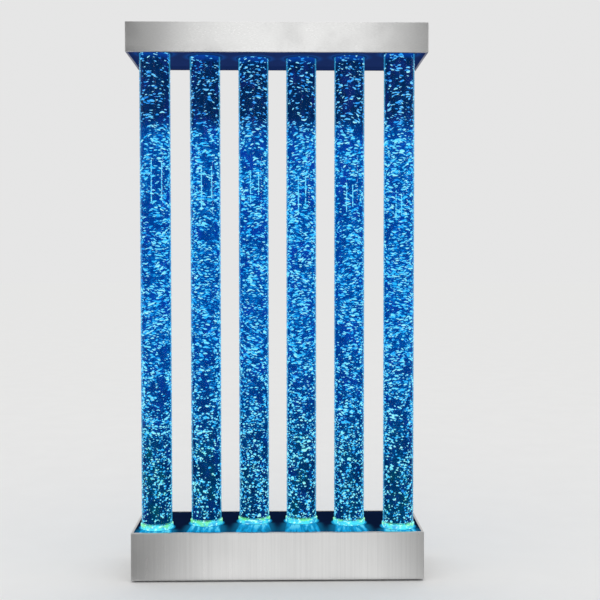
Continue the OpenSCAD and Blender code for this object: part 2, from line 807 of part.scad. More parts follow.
// Bezels of the rocker switch and of the button, each with its body behind the panel
module control_bezels() color(black) {
    translate([switch_x, panel_out, controls_z]) difference() {
        union() {
            translate([-switch_bezel[0] / 2, 0, -switch_bezel[2] / 2]) cube(switch_bezel);
            translate([-switch_body[0] / 2, -switch_body[1], -switch_body[2] / 2])
                cube([switch_body[0], switch_body[1] + cut, switch_body[2]]);
        }
        depth = rocker_thick + rocker_half * sin(rocker_tilt) + 1.5;
        translate([-rocker_half - 1.2, -depth, -rocker_z / 2 - slack])
            cube([2 * rocker_half + 2.4, depth + switch_bezel[1] + cut, rocker_z + 2 * slack]);
        translate([0, 0, -rocker_z / 2 - axle_l]) cylinder(r = axle_r + running,
            h = rocker_z + 2 * axle_l);
    }
    on_back(button_x, controls_z) difference() {
        union() {
            cylinder(r = button_bezel_r, h = 2);
            translate([0, 0, -button_body_l]) cylinder(r = button_r + 1.5, h = button_body_l + cut);
        }
        translate([0, 0, -button_body_l + 4]) cylinder(r = button_r + running, h = 2 * button_body_l);
    }
}

// Shallow V rocker on two stub axles, shown pressed to its ON side
module switch_rocker() color(black)
    translate([switch_x, panel_out, controls_z]) rotate([0, 0, rocker_tilt]) {
        proud = 3.2;
        translate([0, 0, -rocker_z / 2]) linear_extrude(rocker_z)
            polygon([[-rocker_half, -rocker_thick], [rocker_half, -rocker_thick],
                     [rocker_half, proud], [0, proud - 1.6], [-rocker_half, proud]]);
        translate([0, 0, -rocker_z / 2 - axle_l + slip])
            cylinder(r = axle_r, h = rocker_z + 2 * (axle_l - slip));
    }

module mode_button() color("silver") on_back(button_x, controls_z) {
    stem_l = button_body_l - 4 - button_travel - 1;
    turned([[0, -stem_l], [button_r, -stem_l], [button_r, 2 + button_proud - 0.8],
            [button_r - 0.8, 2 + button_proud], [0, 2 + button_proud - 0.3]]);
}

// ---------- air supply ----------

module air_pump_body() color(dark_steel) translate([pump_x, pump_y, 0]) {
    for (sx = [-1, 1], sy = [-1, 1])
        translate([sx * (pump_l / 2 - 16), sy * (pump_d / 2 - 14), pan_top])
            turned([[0, 0], [bobbin_r, 0], [bobbin_r, 2], [bobbin_r - 2.5, bobbin_h / 2],
                    [bobbin_r, bobbin_h - 2], [bobbin_r, bobbin_h + 1], [0, bobbin_h + 1]]);
    translate([0, 0, pump_z]) difference() {
        bent_box(pump_l, pump_d, pump_body_h, 10, 3, 0);
        for (s = [-1, 1], i = [-4:4]) translate([i * 13, s * pump_d / 2, 8])
            block([7, 3, pump_body_h - 16]);
    }
    for (s = [-1, 1]) translate([pump_l / 2 - 1, s * 18, pump_z + 22]) rotate([0, 90, 0]) {
        cylinder(r = 5, h = 5);
        translate([0, 0, 5]) barb(barb_l);
    }
}

module air_pump_cover() color(black) translate([pump_x, pump_y, pump_z + pump_body_h])
    difference() {
        union() {
            bent_box(pump_l, pump_d, pump_cover_h - 4, 10, 0, 6);
            for (i = [-5:5]) translate([i * 11, 0, pump_cover_h - 6])
                block([4, pump_d - 30, 6]);
        }
        for (sx = [-1, 1], sy = [-1, 1])
            translate([sx * (pump_l / 2 - 11), sy * (pump_d / 2 - 11), pump_cover_h - 8])
                cylinder(r = 4, h = 10);
    }

function station_x(k) = (k - (tube_count + 1) / 2) * station_pitch;

// Six needle-valve stations on one bar, each with an outlet barb in front and a gland behind
module valve_manifold() color("darkgoldenrod") translate([0, manifold_y, manifold_z]) {
    half = bar_side / 2;
    chamfer = 2.5;
    rotate([90, 0, 90]) translate([0, 0, -bar_l / 2]) linear_extrude(bar_l)
        polygon([[-half + chamfer, -half], [half - chamfer, -half], [half, -half + chamfer],
                 [half, half - chamfer], [half - chamfer, half], [-half + chamfer, half],
                 [-half, half - chamfer], [-half, -half + chamfer]]);
    for (k = [1:tube_count]) translate([station_x(k), 0, 0]) {
        translate([0, -half + 1, 0]) rotate([90, 0, 0]) {
            cylinder(r = hex_r, h = hex_l + 1, $fn = 6);
            translate([0, 0, hex_l + 1]) barb(barb_l);
        }
        translate([0, half - 1, 0]) rotate([-90, 0, 0]) difference() {
            union() {
                cylinder(r = hex_r + 1, h = hex_l + 1, $fn = 6);
                cylinder(r = gland_r, h = hex_l + gland_l + 1);
            }
            translate([0, 0, hex_l + gland_l + 1 - spindle_l])
                cylinder(r = spindle_r + running, h = spindle_l + cut);
        }
    }
    translate([-bar_l / 2 + 1, 0, 0]) rotate([0, -90, 0]) {
        cylinder(r = hex_r, h = hex_l + 1, $fn = 6);
        translate([0, 0, hex_l + 1]) barb(barb_l);
    }
    translate([bar_l / 2 - 1, 0, 0]) rotate([0, 90, 0]) cylinder(r = hex_r, h = hex_l + 1, $fn = 6);
    leg_h = manifold_z - pan_top;
    for (s = [-1, 1]) translate([s * (bar_l / 2 - 7), 0, -leg_h]) {
        block([4, bar_side - 4, leg_h - half + 1]);
        translate([s * -6, 0, 0]) block([16, bar_side - 4, 3]);
    }
}

// Fluted knob with an index ridge, and its needle spindle
module valve_knob(k) color("firebrick") {
    flutes = 15;
    gap = 0.5;
    translate([station_x(k), manifold_y + bar_side / 2 + hex_l + gland_l + gap, manifold_z])
        rotate([-90, 0, 0]) {
            difference() {
                cylinder(r = knob_r, h = knob_l);
                for (i = [0:flutes - 1]) rotate([0, 0, 360 * i / flutes])
                    translate([knob_r + 0.5, 0, -cut]) cylinder(r = 1.3, h = knob_l + 2 * cut);
                translate([0, 0, knob_l - 1.5]) ring(knob_r - 2, 3.5, 3);
            }
            translate([-0.8, -(knob_r - 1.5), knob_l - 1.5]) cube([1.6, knob_r - 4, 1.5]);
            translate([0, 0, -gap - spindle_l + 1]) cylinder(r = spindle_r, h = spindle_l + gap);
        }
}

// In-line check valves, hung on the airlines between the manifold and the tubes
module check_valves() color("whitesmoke") for (k = [1:tube_count])
    translate([station_x(k), valve_y, manifold_z]) rotate([90, 0, 0]) {
        cone_z = valve_cone_l;
        drum_z = cone_z + valve_drum_l;
        turned([[0, 0], [3, 0], [valve_r, cone_z], [valve_r, cone_z + 3], [valve_r + 1, cone_z + 3],
                [valve_r + 1, drum_z - 3], [valve_r, drum_z - 3], [valve_r, drum_z],
                [3, valve_l], [0, valve_l]]);
        translate([0, 0, valve_l]) barb(barb_l);
        rotate([180, 0, 0]) barb(barb_l);
    }

module airlines() color("lightcyan") {
    seat = 0.5;
    lead_in = barb_l + 3;
    curve_steps = 11;
    outlet_y = manifold_y - bar_side / 2 - hex_l;
    for (k = [1:tube_count]) {
        x = station_x(k);
        hose([[x, outlet_y - seat, manifold_z], [x, valve_y + seat, manifold_z]]);
        start = [x, valve_y - valve_l - seat, manifold_z];
        end = [tube_x(k), tube_y(k), barb_root_z - seat];
        lane = hose_lanes[min(k, tube_count + 1 - k) - 1];
        hose(route(start, [0, -1, 0], end, [0, 0, -1], lead_in, lane, curve_steps));
    }
    hose(route([pump_x + pump_l / 2 + 4 + seat, pump_y + 18, pump_z + 22], [1, 0, 0],
        [-bar_l / 2 - hex_l - seat, manifold_y, manifold_z], [-1, 0, 0], lead_in, [20, 20], 7));
}

// ---------- electrical boxes ----------

// Caged supply: vented cover and a row of screw terminals at one end
module power_supply() color("lightgray") translate([psu_x, psu_y, pan_top]) {
    terminals = 7;
    step = (psu[1] - 12) / terminals;
    difference() {
        block(psu);
        for (i = [-5:5], s = [-1, 1]) translate([i * 11, s * psu[1] / 4, psu[2] - 2])
            block([4, psu[1] / 2 - 10, 4]);
        translate([psu[0] / 2 - 14, -psu[1] / 2 + 4, 14]) cube([20, psu[1] - 8, psu[2]]);
    }
    for (i = [0:terminals]) translate([psu[0] / 2 - 8, -psu[1] / 2 + 6 + i * step, 13])
        block([12, 1.6, 15]);
    for (i = [0:terminals - 1]) translate([psu[0] / 2 - 8, -psu[1] / 2 + 6 + (i + 0.5) * step, 13])
        cylinder(r = 3, h = 6);
}

module led_controller() color("ghostwhite") translate([controller_x, controller_y, pan_top]) {
    difference() {
        bent_box(controller[0], controller[1], controller[2], 5, 0, 2);
        for (i = [-3:3]) translate([i * 9, 0, controller[2] - 1.2])
            block([3, controller[1] - 26, 3]);
    }
    for (s = [-1, 1]) translate([0, s * controller[1] / 2, 0]) difference() {
        block([22, 16, 3]);
        translate([0, s * 4, -cut]) cylinder(r = 2, h = 6);
    }
}

module wiring() color(black) {
    plug_z = sink_top + lead_plug[2] / 2;
    plug_x = board_r + lead_plug[0] - 3;
    dip = 42;
    for (k = [1:tube_count - 1]) {
        a = [tube_x(k) + plug_x, tube_y(k), plug_z];
        b = [tube_x(k + 1) - plug_x, tube_y(k + 1), plug_z];
        p = [a + [3, 0, 0], a + [12, 0, -dip], b + [-12, 0, -dip], b + [-3, 0, 0]];
        lead(concat([a], [for (i = [0:8]) bezier(p, i / 8)], [b]), 1.6);
    }
    box_side = controller_x - controller[0] / 2;
    controller_front = controller_y - controller[1] / 2;
    lead(route([controller_x + 34, controller_front, pan_top + 14], [0, -1, 0],
        [tube_x(tube_count) + plug_x, tube_y(tube_count), plug_z], [1, 0, 0], 4, [20, 14], 9), 1.6);
    inlet_back = panel_out - inlet_body[1];
    switch_back = panel_out - switch_body[1];
    psu_end = psu_x + psu[0] / 2;
    lead(route([inlet_x - 7, inlet_back, controls_z], [0, -1, 0],
        [switch_x + 5, switch_back, controls_z], [0, -1, 0], 4, [18, 18], 7));
    lead(route([switch_x - 5, switch_back, controls_z], [0, -1, 0],
        [psu_end, psu_y + 36, pan_top + 8], [1, 0, 0], 4, [20, 20], 8));
    lead(route([psu_end, psu_y - 30, pan_top + 8], [1, 0, 0],
        [box_side, controller_y + 6, pan_top + 14], [-1, 0, 0], 3, [4, 4], 5));
    lead(route([button_x, panel_out - button_body_l, controls_z], [0, -1, 0],
        [box_side, controller_y + 24, pan_top + 22], [-1, 0, 0], 4, [30, 14], 9), 1.4);
    lead(route([psu_x - psu[0] / 2, psu_y - 10, pan_top + 8], [-1, 0, 0],
        [pump_x + pump_l / 2, pump_y, pump_z + 8], [1, 0, 0], 6, [90, 90], 13));
}

// ---------- fasteners ----------

// Domed screw along +Z, its head's seat at z = 0
module screw(r, head_r, head_h, l) {
    turned([[0, -l], [r, -l], [r, 0], [head_r, 0], [head_r * 0.92, head_h * 0.5],
            [head_r * 0.6, head_h * 0.88], [0, head_h]]);
}

module screws() color("silver") {
    for (x = upper_screw_x) on_back(x, upper_screw_z)
        screw(screw_r, screw_head_r, screw_head_h, screw_l);
    for (x = lower_screw_x) on_back(x, lower_screw_z)
        screw(screw_r, screw_head_r, screw_head_h, sheet_t + slack + pan_t);
    for (s = [-1, 1]) on_back(inlet_x + s * inlet_screw_x, controls_z)
        translate([0, 0, inlet_flange[1]]) screw(small_screw_r, 2.8, 1.6, inlet_flange[1] + sheet_t);
    each_tube() for (i = [0:collar_screws - 1]) rotate([0, 0, 360 * i / collar_screws + 90])
        translate([collar_screw_r, 0, soffit_top + collar_flange_t])
            screw(screw_r, screw_head_r, screw_head_h, collar_flange_t + soffit_t - 1);
}

// ---------- cap box ----------

// Four folded sides with a flange below and a welded ledge inside for the lid
module cap_fascia() color(steel) {
    difference() {
        translate([0, 0, cap_bottom]) bent_box(cap_w, cap_d, cap_h + bend_r, bend_r, bend_r, 0);
        translate([0, 0, cap_bottom + sheet_t]) bent_box(2 * cap_in_x, 2 * cap_in_y,
            cap_h + 2 * bend_r, bend_r - sheet_t, bend_r - sheet_t, 0);
        translate([0, 0, cap_bottom - cut])
            block([cap_w - 2 * cap_return, cap_d - 2 * cap_return, sheet_t + 2 * cut]);
        translate([0, 0, cap_top]) block([cap_w + 2, cap_d + 2, 2 * bend_r]);
    }
    translate([0, 0, lid_ledge_top - sheet_t]) difference() {
        block([2 * cap_in_x + sheet_t, 2 * cap_in_y + sheet_t, sheet_t]);
        translate([0, 0, -cut])
            block([2 * (cap_in_x - ledge_w), 2 * (cap_in_y - ledge_w), sheet_t + 2 * cut]);
    }
}

// Four bars that carry the underside panel above the cap's flange
module cap_frame() color(dark_steel) {
    inset = bend_r - sheet_t + slip;
    bar_w = cap_return - inset;
    long = 2 * (cap_in_x - inset);
    short = 2 * (cap_in_y - inset - bar_w - slip);
    h = soffit_recess - sheet_t;
    for (s = [-1, 1]) {
        translate([0, s * (cap_in_y - inset - bar_w / 2), cap_bottom + sheet_t])
            block([long, bar_w, h]);
        translate([s * (cap_in_x - inset - bar_w / 2), 0, cap_bottom + sheet_t])
            block([bar_w, short, h]);
    }
}

module cap_soffit() color(soffit_blue) difference() {
    translate([0, 0, soffit_z]) block([2 * (cap_in_x - slack), 2 * (cap_in_y - slack), soffit_t]);
    each_tube() translate([0, 0, soffit_z - cut])
        cylinder(r = tube_r + grommet_wall, h = soffit_t + 2 * cut);
    each_tube() for (i = [0:collar_screws - 1]) rotate([0, 0, 360 * i / collar_screws + 90])
        translate([collar_screw_r, 0, soffit_z + 1]) cylinder(r = screw_hole_r, h = soffit_t);
}

module cap_grommets() color(black) each_tube() {
    inner = tube_r + slip;
    outer = tube_r + grommet_wall;
    turned([[inner, soffit_z - grommet_lip_t], [outer + grommet_lip - 1, soffit_z - grommet_lip_t],
            [outer + grommet_lip, soffit_z - 1], [outer + grommet_lip, soffit_z],
            [outer - slip, soffit_z], [outer - slip, soffit_top], [inner, soffit_top]]);
}

// Turned collars that carry the cap on the tubes' rims
module cap_collars() color("silver") each_tube() difference() {
    inner = tube_r + slack;
    flange_top = soffit_top + collar_flange_t;
    turned([[inner, soffit_top], [collar_flange_r, soffit_top], [collar_flange_r, flange_top],
            [collar_sleeve_r, flange_top], [collar_sleeve_r, collar_top - 1],
            [collar_sleeve_r - 1, collar_top], [seat_r, collar_top], [seat_r, tube_top],
            [inner, tube_top]]);
    for (i = [0:collar_screws - 1]) rotate([0, 0, 360 * i / collar_screws + 90])
        translate([collar_screw_r, 0, soffit_top - cut])
            cylinder(r = screw_hole_r, h = collar_flange_t + 2 * cut);
}

// Domed stopper with a skirt, four vents and a ribbed finger knob
module vent_cap(k) color(black) at_tube(k) {
    z = collar_top + slack;
    skirt_in = vent_skirt_r - vent_skirt_wall;
    dome_under = z + vent_dome_rise;
    dome_top = dome_under + vent_dome_t;
    knob_top = dome_top + vent_knob_h;
    knob_ribs = 12;
    difference() {
        turned([[0, dome_under], [skirt_in, dome_under], [skirt_in, z - vent_skirt_h],
                [vent_skirt_r, z - vent_skirt_h], [vent_skirt_r, z], [vent_flange_r, z],
                [vent_flange_r, z + vent_flange_t - 1], [vent_flange_r - 1, z + vent_flange_t],
                [vent_skirt_r, z + vent_flange_t], [vent_skirt_r - 2, dome_top],
                [vent_knob_r, dome_top], [vent_knob_r, knob_top - 1], [vent_knob_r - 1, knob_top],
                [0, knob_top]]);
        for (a = [45:90:315]) rotate([0, 0, a]) translate([bore_r * 0.62, 0, z])
            cylinder(r = vent_hole_r, h = vent_knob_h + vent_dome_t);
        for (i = [0:knob_ribs - 1]) rotate([0, 0, 360 * i / knob_ribs])
            translate([vent_knob_r + 0.7, 0, dome_top + 1]) cylinder(r = 1.6, h = vent_knob_h);
    }
}

// Flush tray lid with a finger slot near each end
module cap_lid() color(steel) difference() {
    w = 2 * (cap_in_x - slack);
    d = 2 * (cap_in_y - slack);
    bottom = lid_ledge_top + slack;
    inner_r = bend_r - sheet_t;
    translate([0, 0, bottom]) bent_box(w, d, lid_edge_h, bend_r, 0, bend_r);
    translate([0, 0, bottom - cut]) bent_box(w - 2 * sheet_t, d - 2 * sheet_t,
        lid_edge_h - sheet_t + cut, inner_r, 0, inner_r);
    for (s = [-1, 1]) translate([s * (cap_w / 2 - finger_slot_inset), 0, bottom]) {
        run = (finger_slot_l - finger_slot_w) / 2;
        block([finger_slot_w, 2 * run, 2 * lid_edge_h]);
        for (t = [-1, 1]) translate([0, t * run, 0])
            cylinder(d = finger_slot_w, h = 2 * lid_edge_h);
    }
}

// ---------- assembly ----------

for (k = [1:tube_count]) {
    acrylic_tube(k);
    tube_plug(k);
    vent_cap(k);
    valve_knob(k);
}
water_columns();
air_diffusers();
tube_gaskets();
tube_lock_rings();
led_rings();
led_heatsinks();
base_fascia();
base_deck();
deck_frame();
base_pan();
rear_panel();
service_door();
door_hinge_fixed_leaf();
door_hinge_door_leaf();
door_hinge_pin();
door_catches();
feet();
air_pump_body();
air_pump_cover();
valve_manifold();
check_valves();
airlines();
power_supply();
led_controller();
power_inlet();
control_bezels();
switch_rocker();
mode_button();
wiring();
screws();
cap_fascia();
cap_frame();
cap_soffit();
cap_grommets();
cap_collars();
cap_lid();
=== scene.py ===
"""Looks of the bubble tube lamp: lit water full of bubbles, clear acrylic, brushed steel boxes, and the studio."""

import json
import logging
import math
from dataclasses import dataclass, field, replace
from enum import Enum
from functools import cache, reduce

import bpy
import numpy as np
from mathutils import Matrix, Vector

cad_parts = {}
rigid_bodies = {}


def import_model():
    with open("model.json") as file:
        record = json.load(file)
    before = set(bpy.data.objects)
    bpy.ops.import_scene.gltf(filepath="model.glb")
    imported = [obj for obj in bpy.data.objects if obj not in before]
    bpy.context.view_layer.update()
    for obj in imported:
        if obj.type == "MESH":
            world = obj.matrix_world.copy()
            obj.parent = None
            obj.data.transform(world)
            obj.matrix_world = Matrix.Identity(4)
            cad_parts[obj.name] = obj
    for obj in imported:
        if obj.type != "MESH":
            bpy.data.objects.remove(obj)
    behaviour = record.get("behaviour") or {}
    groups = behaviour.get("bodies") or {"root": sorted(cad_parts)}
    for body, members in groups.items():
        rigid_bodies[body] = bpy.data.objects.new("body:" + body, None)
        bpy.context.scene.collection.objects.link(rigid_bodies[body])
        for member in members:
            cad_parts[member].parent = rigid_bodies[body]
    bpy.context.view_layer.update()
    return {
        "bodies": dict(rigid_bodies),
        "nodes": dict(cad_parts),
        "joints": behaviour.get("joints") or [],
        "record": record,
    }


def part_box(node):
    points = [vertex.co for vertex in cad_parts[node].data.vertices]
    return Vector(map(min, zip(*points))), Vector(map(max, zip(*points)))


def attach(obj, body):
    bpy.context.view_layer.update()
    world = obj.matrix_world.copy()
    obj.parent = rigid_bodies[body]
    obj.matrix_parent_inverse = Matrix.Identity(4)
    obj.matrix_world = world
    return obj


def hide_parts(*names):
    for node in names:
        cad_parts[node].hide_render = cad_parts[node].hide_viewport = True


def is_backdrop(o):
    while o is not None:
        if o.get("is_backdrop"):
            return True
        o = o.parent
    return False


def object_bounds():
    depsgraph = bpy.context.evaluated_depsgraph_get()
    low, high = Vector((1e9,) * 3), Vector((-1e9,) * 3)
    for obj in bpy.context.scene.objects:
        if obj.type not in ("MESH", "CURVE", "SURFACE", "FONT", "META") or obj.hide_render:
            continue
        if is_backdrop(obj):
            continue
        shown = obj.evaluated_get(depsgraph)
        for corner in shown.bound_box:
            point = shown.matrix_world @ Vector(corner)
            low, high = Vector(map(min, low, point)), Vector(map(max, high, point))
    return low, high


LOG = logging.getLogger("bubble_lamp")
TUBE_NUMBERS = range(1, 7)
MM = 0.001
FULL_TURN = 2 * math.pi
ON_AXIS = 1e-7  # metres: a smaller radius lies on the axis
SHARP_TURN = 40.0  # degrees: edges that turn further stay sharp
MOST_EASED = 0.3  # the share of a side that an eased corner may take
LOW_TO_MIDDLE, MIDDLE_TO_HIGH = (0.25, 0.9), (1.44, 1.54)  # metres up: where the tube's colours change over
CLOUD_GRIDS = ((18, 5), (62, 12), (170, 26))  # rows and columns of the coarse, middling and fine clouds
LARGE_DOME, SMALL_DOME = (12, 3), (8, 2)  # sides and rings
BUBBLE_SEEDS = 100  # added to a tube's own seed for its bubbles
DUST_TONE = (0.42, 0.41, 0.39)
BLACK, WHITE = (0.0, 0.0, 0.0), (1.0, 1.0, 1.0)
PHOTO_WIDTH = 600.0  # pixels
SENSOR_WIDTH = 36.0  # millimetres


class Grain(Enum):
    """Which way a sheet of steel was brushed."""

    UPRIGHT = "upright"
    LENGTHWAYS = "lengthways"


class Role(Enum):
    """What a lamp of the studio is for."""

    FILL = "fill"
    STRIP = "strip"


# ---------- node tools ----------


class Graph:
    """Adds and links the nodes of one shader tree."""

    def __init__(self, tree: bpy.types.NodeTree) -> None:
        """Keeps the tree.

        Args:
            tree: The material's, world's or group's node tree.
        """
        self.tree = tree

    def add(self, kind: str, **settings: object) -> bpy.types.Node:
        """Makes a node.

        Args:
            kind: The node's Blender class name.
            settings: Properties of the node and their values.

        Returns:
            The new node.
        """
        node = self.tree.nodes.new(kind)
        for key, value in settings.items():
            setattr(node, key, value)
        return node

    def put(self, socket: bpy.types.NodeSocket, value: object) -> None:
        """Links a socket into an input, or sets the input's own value.

        Args:
            socket: The input.
            value: Another node's output, a number, a vector or a colour.
        """
        if isinstance(value, bpy.types.NodeSocket):
            self.tree.links.new(value, socket)
        elif socket.type == "RGBA" and len(value) == 3:
            socket.default_value = (*value, 1.0)
        else:
            socket.default_value = value

    def feed(self, inputs: object, **values: object) -> None:
        """Links or sets several inputs.

        Args:
            inputs: A node's inputs.
            values: What goes into each, by name, with underscores for spaces.
        """
        for key, value in values.items():
            self.put(inputs[key.replace("_", " ")], value)

    def math(self, operation: str, *values: object, clamp: bool = False) -> bpy.types.NodeSocket:
        """Does one sum.

        Args:
            operation: The Math node's operation.
            values: Its inputs, in order.
            clamp: Whether the result is kept from 0 to 1.

        Returns:
            The result.
        """
        node = self.add("ShaderNodeMath", operation=operation, use_clamp=clamp)
        for socket, value in zip(node.inputs, values):
            self.put(socket, value)
        return node.outputs[0]

    def vector(self, operation: str, *values: object) -> bpy.types.Node:
        """Does one sum on vectors.

        Args:
            operation: The Vector Math node's operation.
            values: Its inputs, in order.

        Returns:
            The node, whose outputs are Vector and Value.
        """
        node = self.add("ShaderNodeVectorMath", operation=operation)
        for socket, value in zip(node.inputs, values):
            self.put(socket, value)
        return node

    def times(self, first: object, second: object, clamp: bool = False) -> bpy.types.NodeSocket:
        """Returns the product of two values."""
        return self.math("MULTIPLY", first, second, clamp=clamp)

    def plus(self, first: object, second: object) -> bpy.types.NodeSocket:
        """Returns the sum of two values."""
        return self.math("ADD", first, second)

    def stretched(self, where: object, by: object) -> bpy.types.NodeSocket:
        """Returns a place scaled along each axis."""
        return self.vector("MULTIPLY", where, by).outputs[0]

    def normal(self) -> bpy.types.NodeSocket:
        """Returns the surface's own normal."""
        return self.add("ShaderNodeNewGeometry").outputs["Normal"]

    def kept(self, name: str) -> bpy.types.NodeSocket:
        """Returns a value that the mesh keeps at each point."""
        return self.add("ShaderNodeAttribute", attribute_name=name).outputs["Fac"]

    def mix(self, share: object, first: object, second: object) -> bpy.types.NodeSocket:
        """Mixes two colours.

        Args:
            share: How much of the second, from 0 to 1.
            first: The first colour.
            second: The second colour.

        Returns:
            The mixed colour.
        """
        node = self.add("ShaderNodeMix", data_type="RGBA")
        self.put(node.inputs[0], share)
        self.put(node.inputs[6], first)
        self.put(node.inputs[7], second)
        return node.outputs[2]

    def fit(self, value: object, low: object, high: object, to_low: object = 0.0,
            to_high: object = 1.0, smooth: bool = True) -> bpy.types.NodeSocket:
        """Maps one span of values onto another, held at both ends.

        Args:
            value: The value to map.
            low: The value that gives to_low.
            high: The value that gives to_high.
            to_low: The low result.
            to_high: The high result.
            smooth: Whether the middle is eased.

        Returns:
            The mapped value.
        """
        node = self.add("ShaderNodeMapRange", interpolation_type="SMOOTHSTEP" if smooth else "LINEAR")
        for socket, number in zip(node.inputs, (value, low, high, to_low, to_high)):
            self.put(socket, number)
        return node.outputs[0]

    def noise(self, where: object, scale: object, detail: float = 2.0, rough: float = 0.5) -> bpy.types.NodeSocket:
        """Makes a cloudy value around one half.

        Args:
            where: The position it is read at.
            scale: Its fineness.
            detail: Its number of finer layers.
            rough: How strong the finer layers are.

        Returns:
            The value.
        """
        node = self.add("ShaderNodeTexNoise")
        self.feed(node.inputs, Vector=where, Scale=scale, Detail=detail, Roughness=rough)
        return node.outputs[0]

    def streaks(self, where: object, by: object, detail: float = 2.0, rough: float = 0.5) -> bpy.types.NodeSocket:
        """Returns a cloudy value whose fineness differs along each axis."""
        return self.noise(self.stretched(where, by), 1.0, detail, rough)

    def cells(self, where: object, scale: object) -> bpy.types.Node:
        """Makes scattered cells.

        Args:
            where: The position they are read at.
            scale: Their fineness.

        Returns:
            The Voronoi node, whose outputs are Distance, Color and Position.
        """
        node = self.add("ShaderNodeTexVoronoi")
        self.feed(node.inputs, Vector=where, Scale=scale)
        return node

    def place(self) -> bpy.types.NodeSocket:
        """Returns the place on the piece, in metres, which rides with it."""
        return self.add("ShaderNodeTexCoord").outputs["Object"]

    def split(self, where: object) -> tuple:
        """Takes a vector or a colour apart.

        Args:
            where: The vector or colour.

        Returns:
            Its three parts.
        """
        node = self.add("ShaderNodeSeparateXYZ")
        self.feed(node.inputs, Vector=where)
        return tuple(node.outputs)

    def group(self, tree: bpy.types.NodeTree, **values: object) -> bpy.types.Node:
        """Places a node group.

        Args:
            tree: The group.
            values: Values for its inputs, as for feed.

        Returns:
            The group node.
        """
        node = self.add("ShaderNodeGroup", node_tree=tree)
        self.feed(node.inputs, **values)
        return node

    def effect(self, tree: bpy.types.NodeTree, **values: object) -> bpy.types.NodeSocket:
        """Places a node group and returns its first output."""
        return self.group(tree, **values).outputs[0]

    def bump(self, height: object, strength: float, distance: float) -> bpy.types.NodeSocket:
        """Turns a height into a normal.

        Args:
            height: The height, from 0 to 1.
            strength: How much it shows.
            distance: The depth of the relief in metres.

        Returns:
            The normal.
        """
        node = self.add("ShaderNodeBump")
        self.feed(node.inputs, Strength=strength, Distance=distance, Height=height)
        return node.outputs[0]


def start_group(name: str, inputs: dict, outputs: dict) -> tuple:
    """Starts a node group.

    Args:
        name: The group's name.
        inputs: Its input names with their kinds.
        outputs: Its output names with their kinds.

    Returns:
        The graph, the group's inputs as outputs of a node, and its outputs as inputs of a node.
    """
    tree = bpy.data.node_groups.new(name, "ShaderNodeTree")
    for way, sockets in (("INPUT", inputs), ("OUTPUT", outputs)):
        for label, kind in sockets.items():
            tree.interface.new_socket(name=label, in_out=way, socket_type="NodeSocket" + kind)
    graph = Graph(tree)
    return graph, graph.add("NodeGroupInput").outputs, graph.add("NodeGroupOutput").inputs


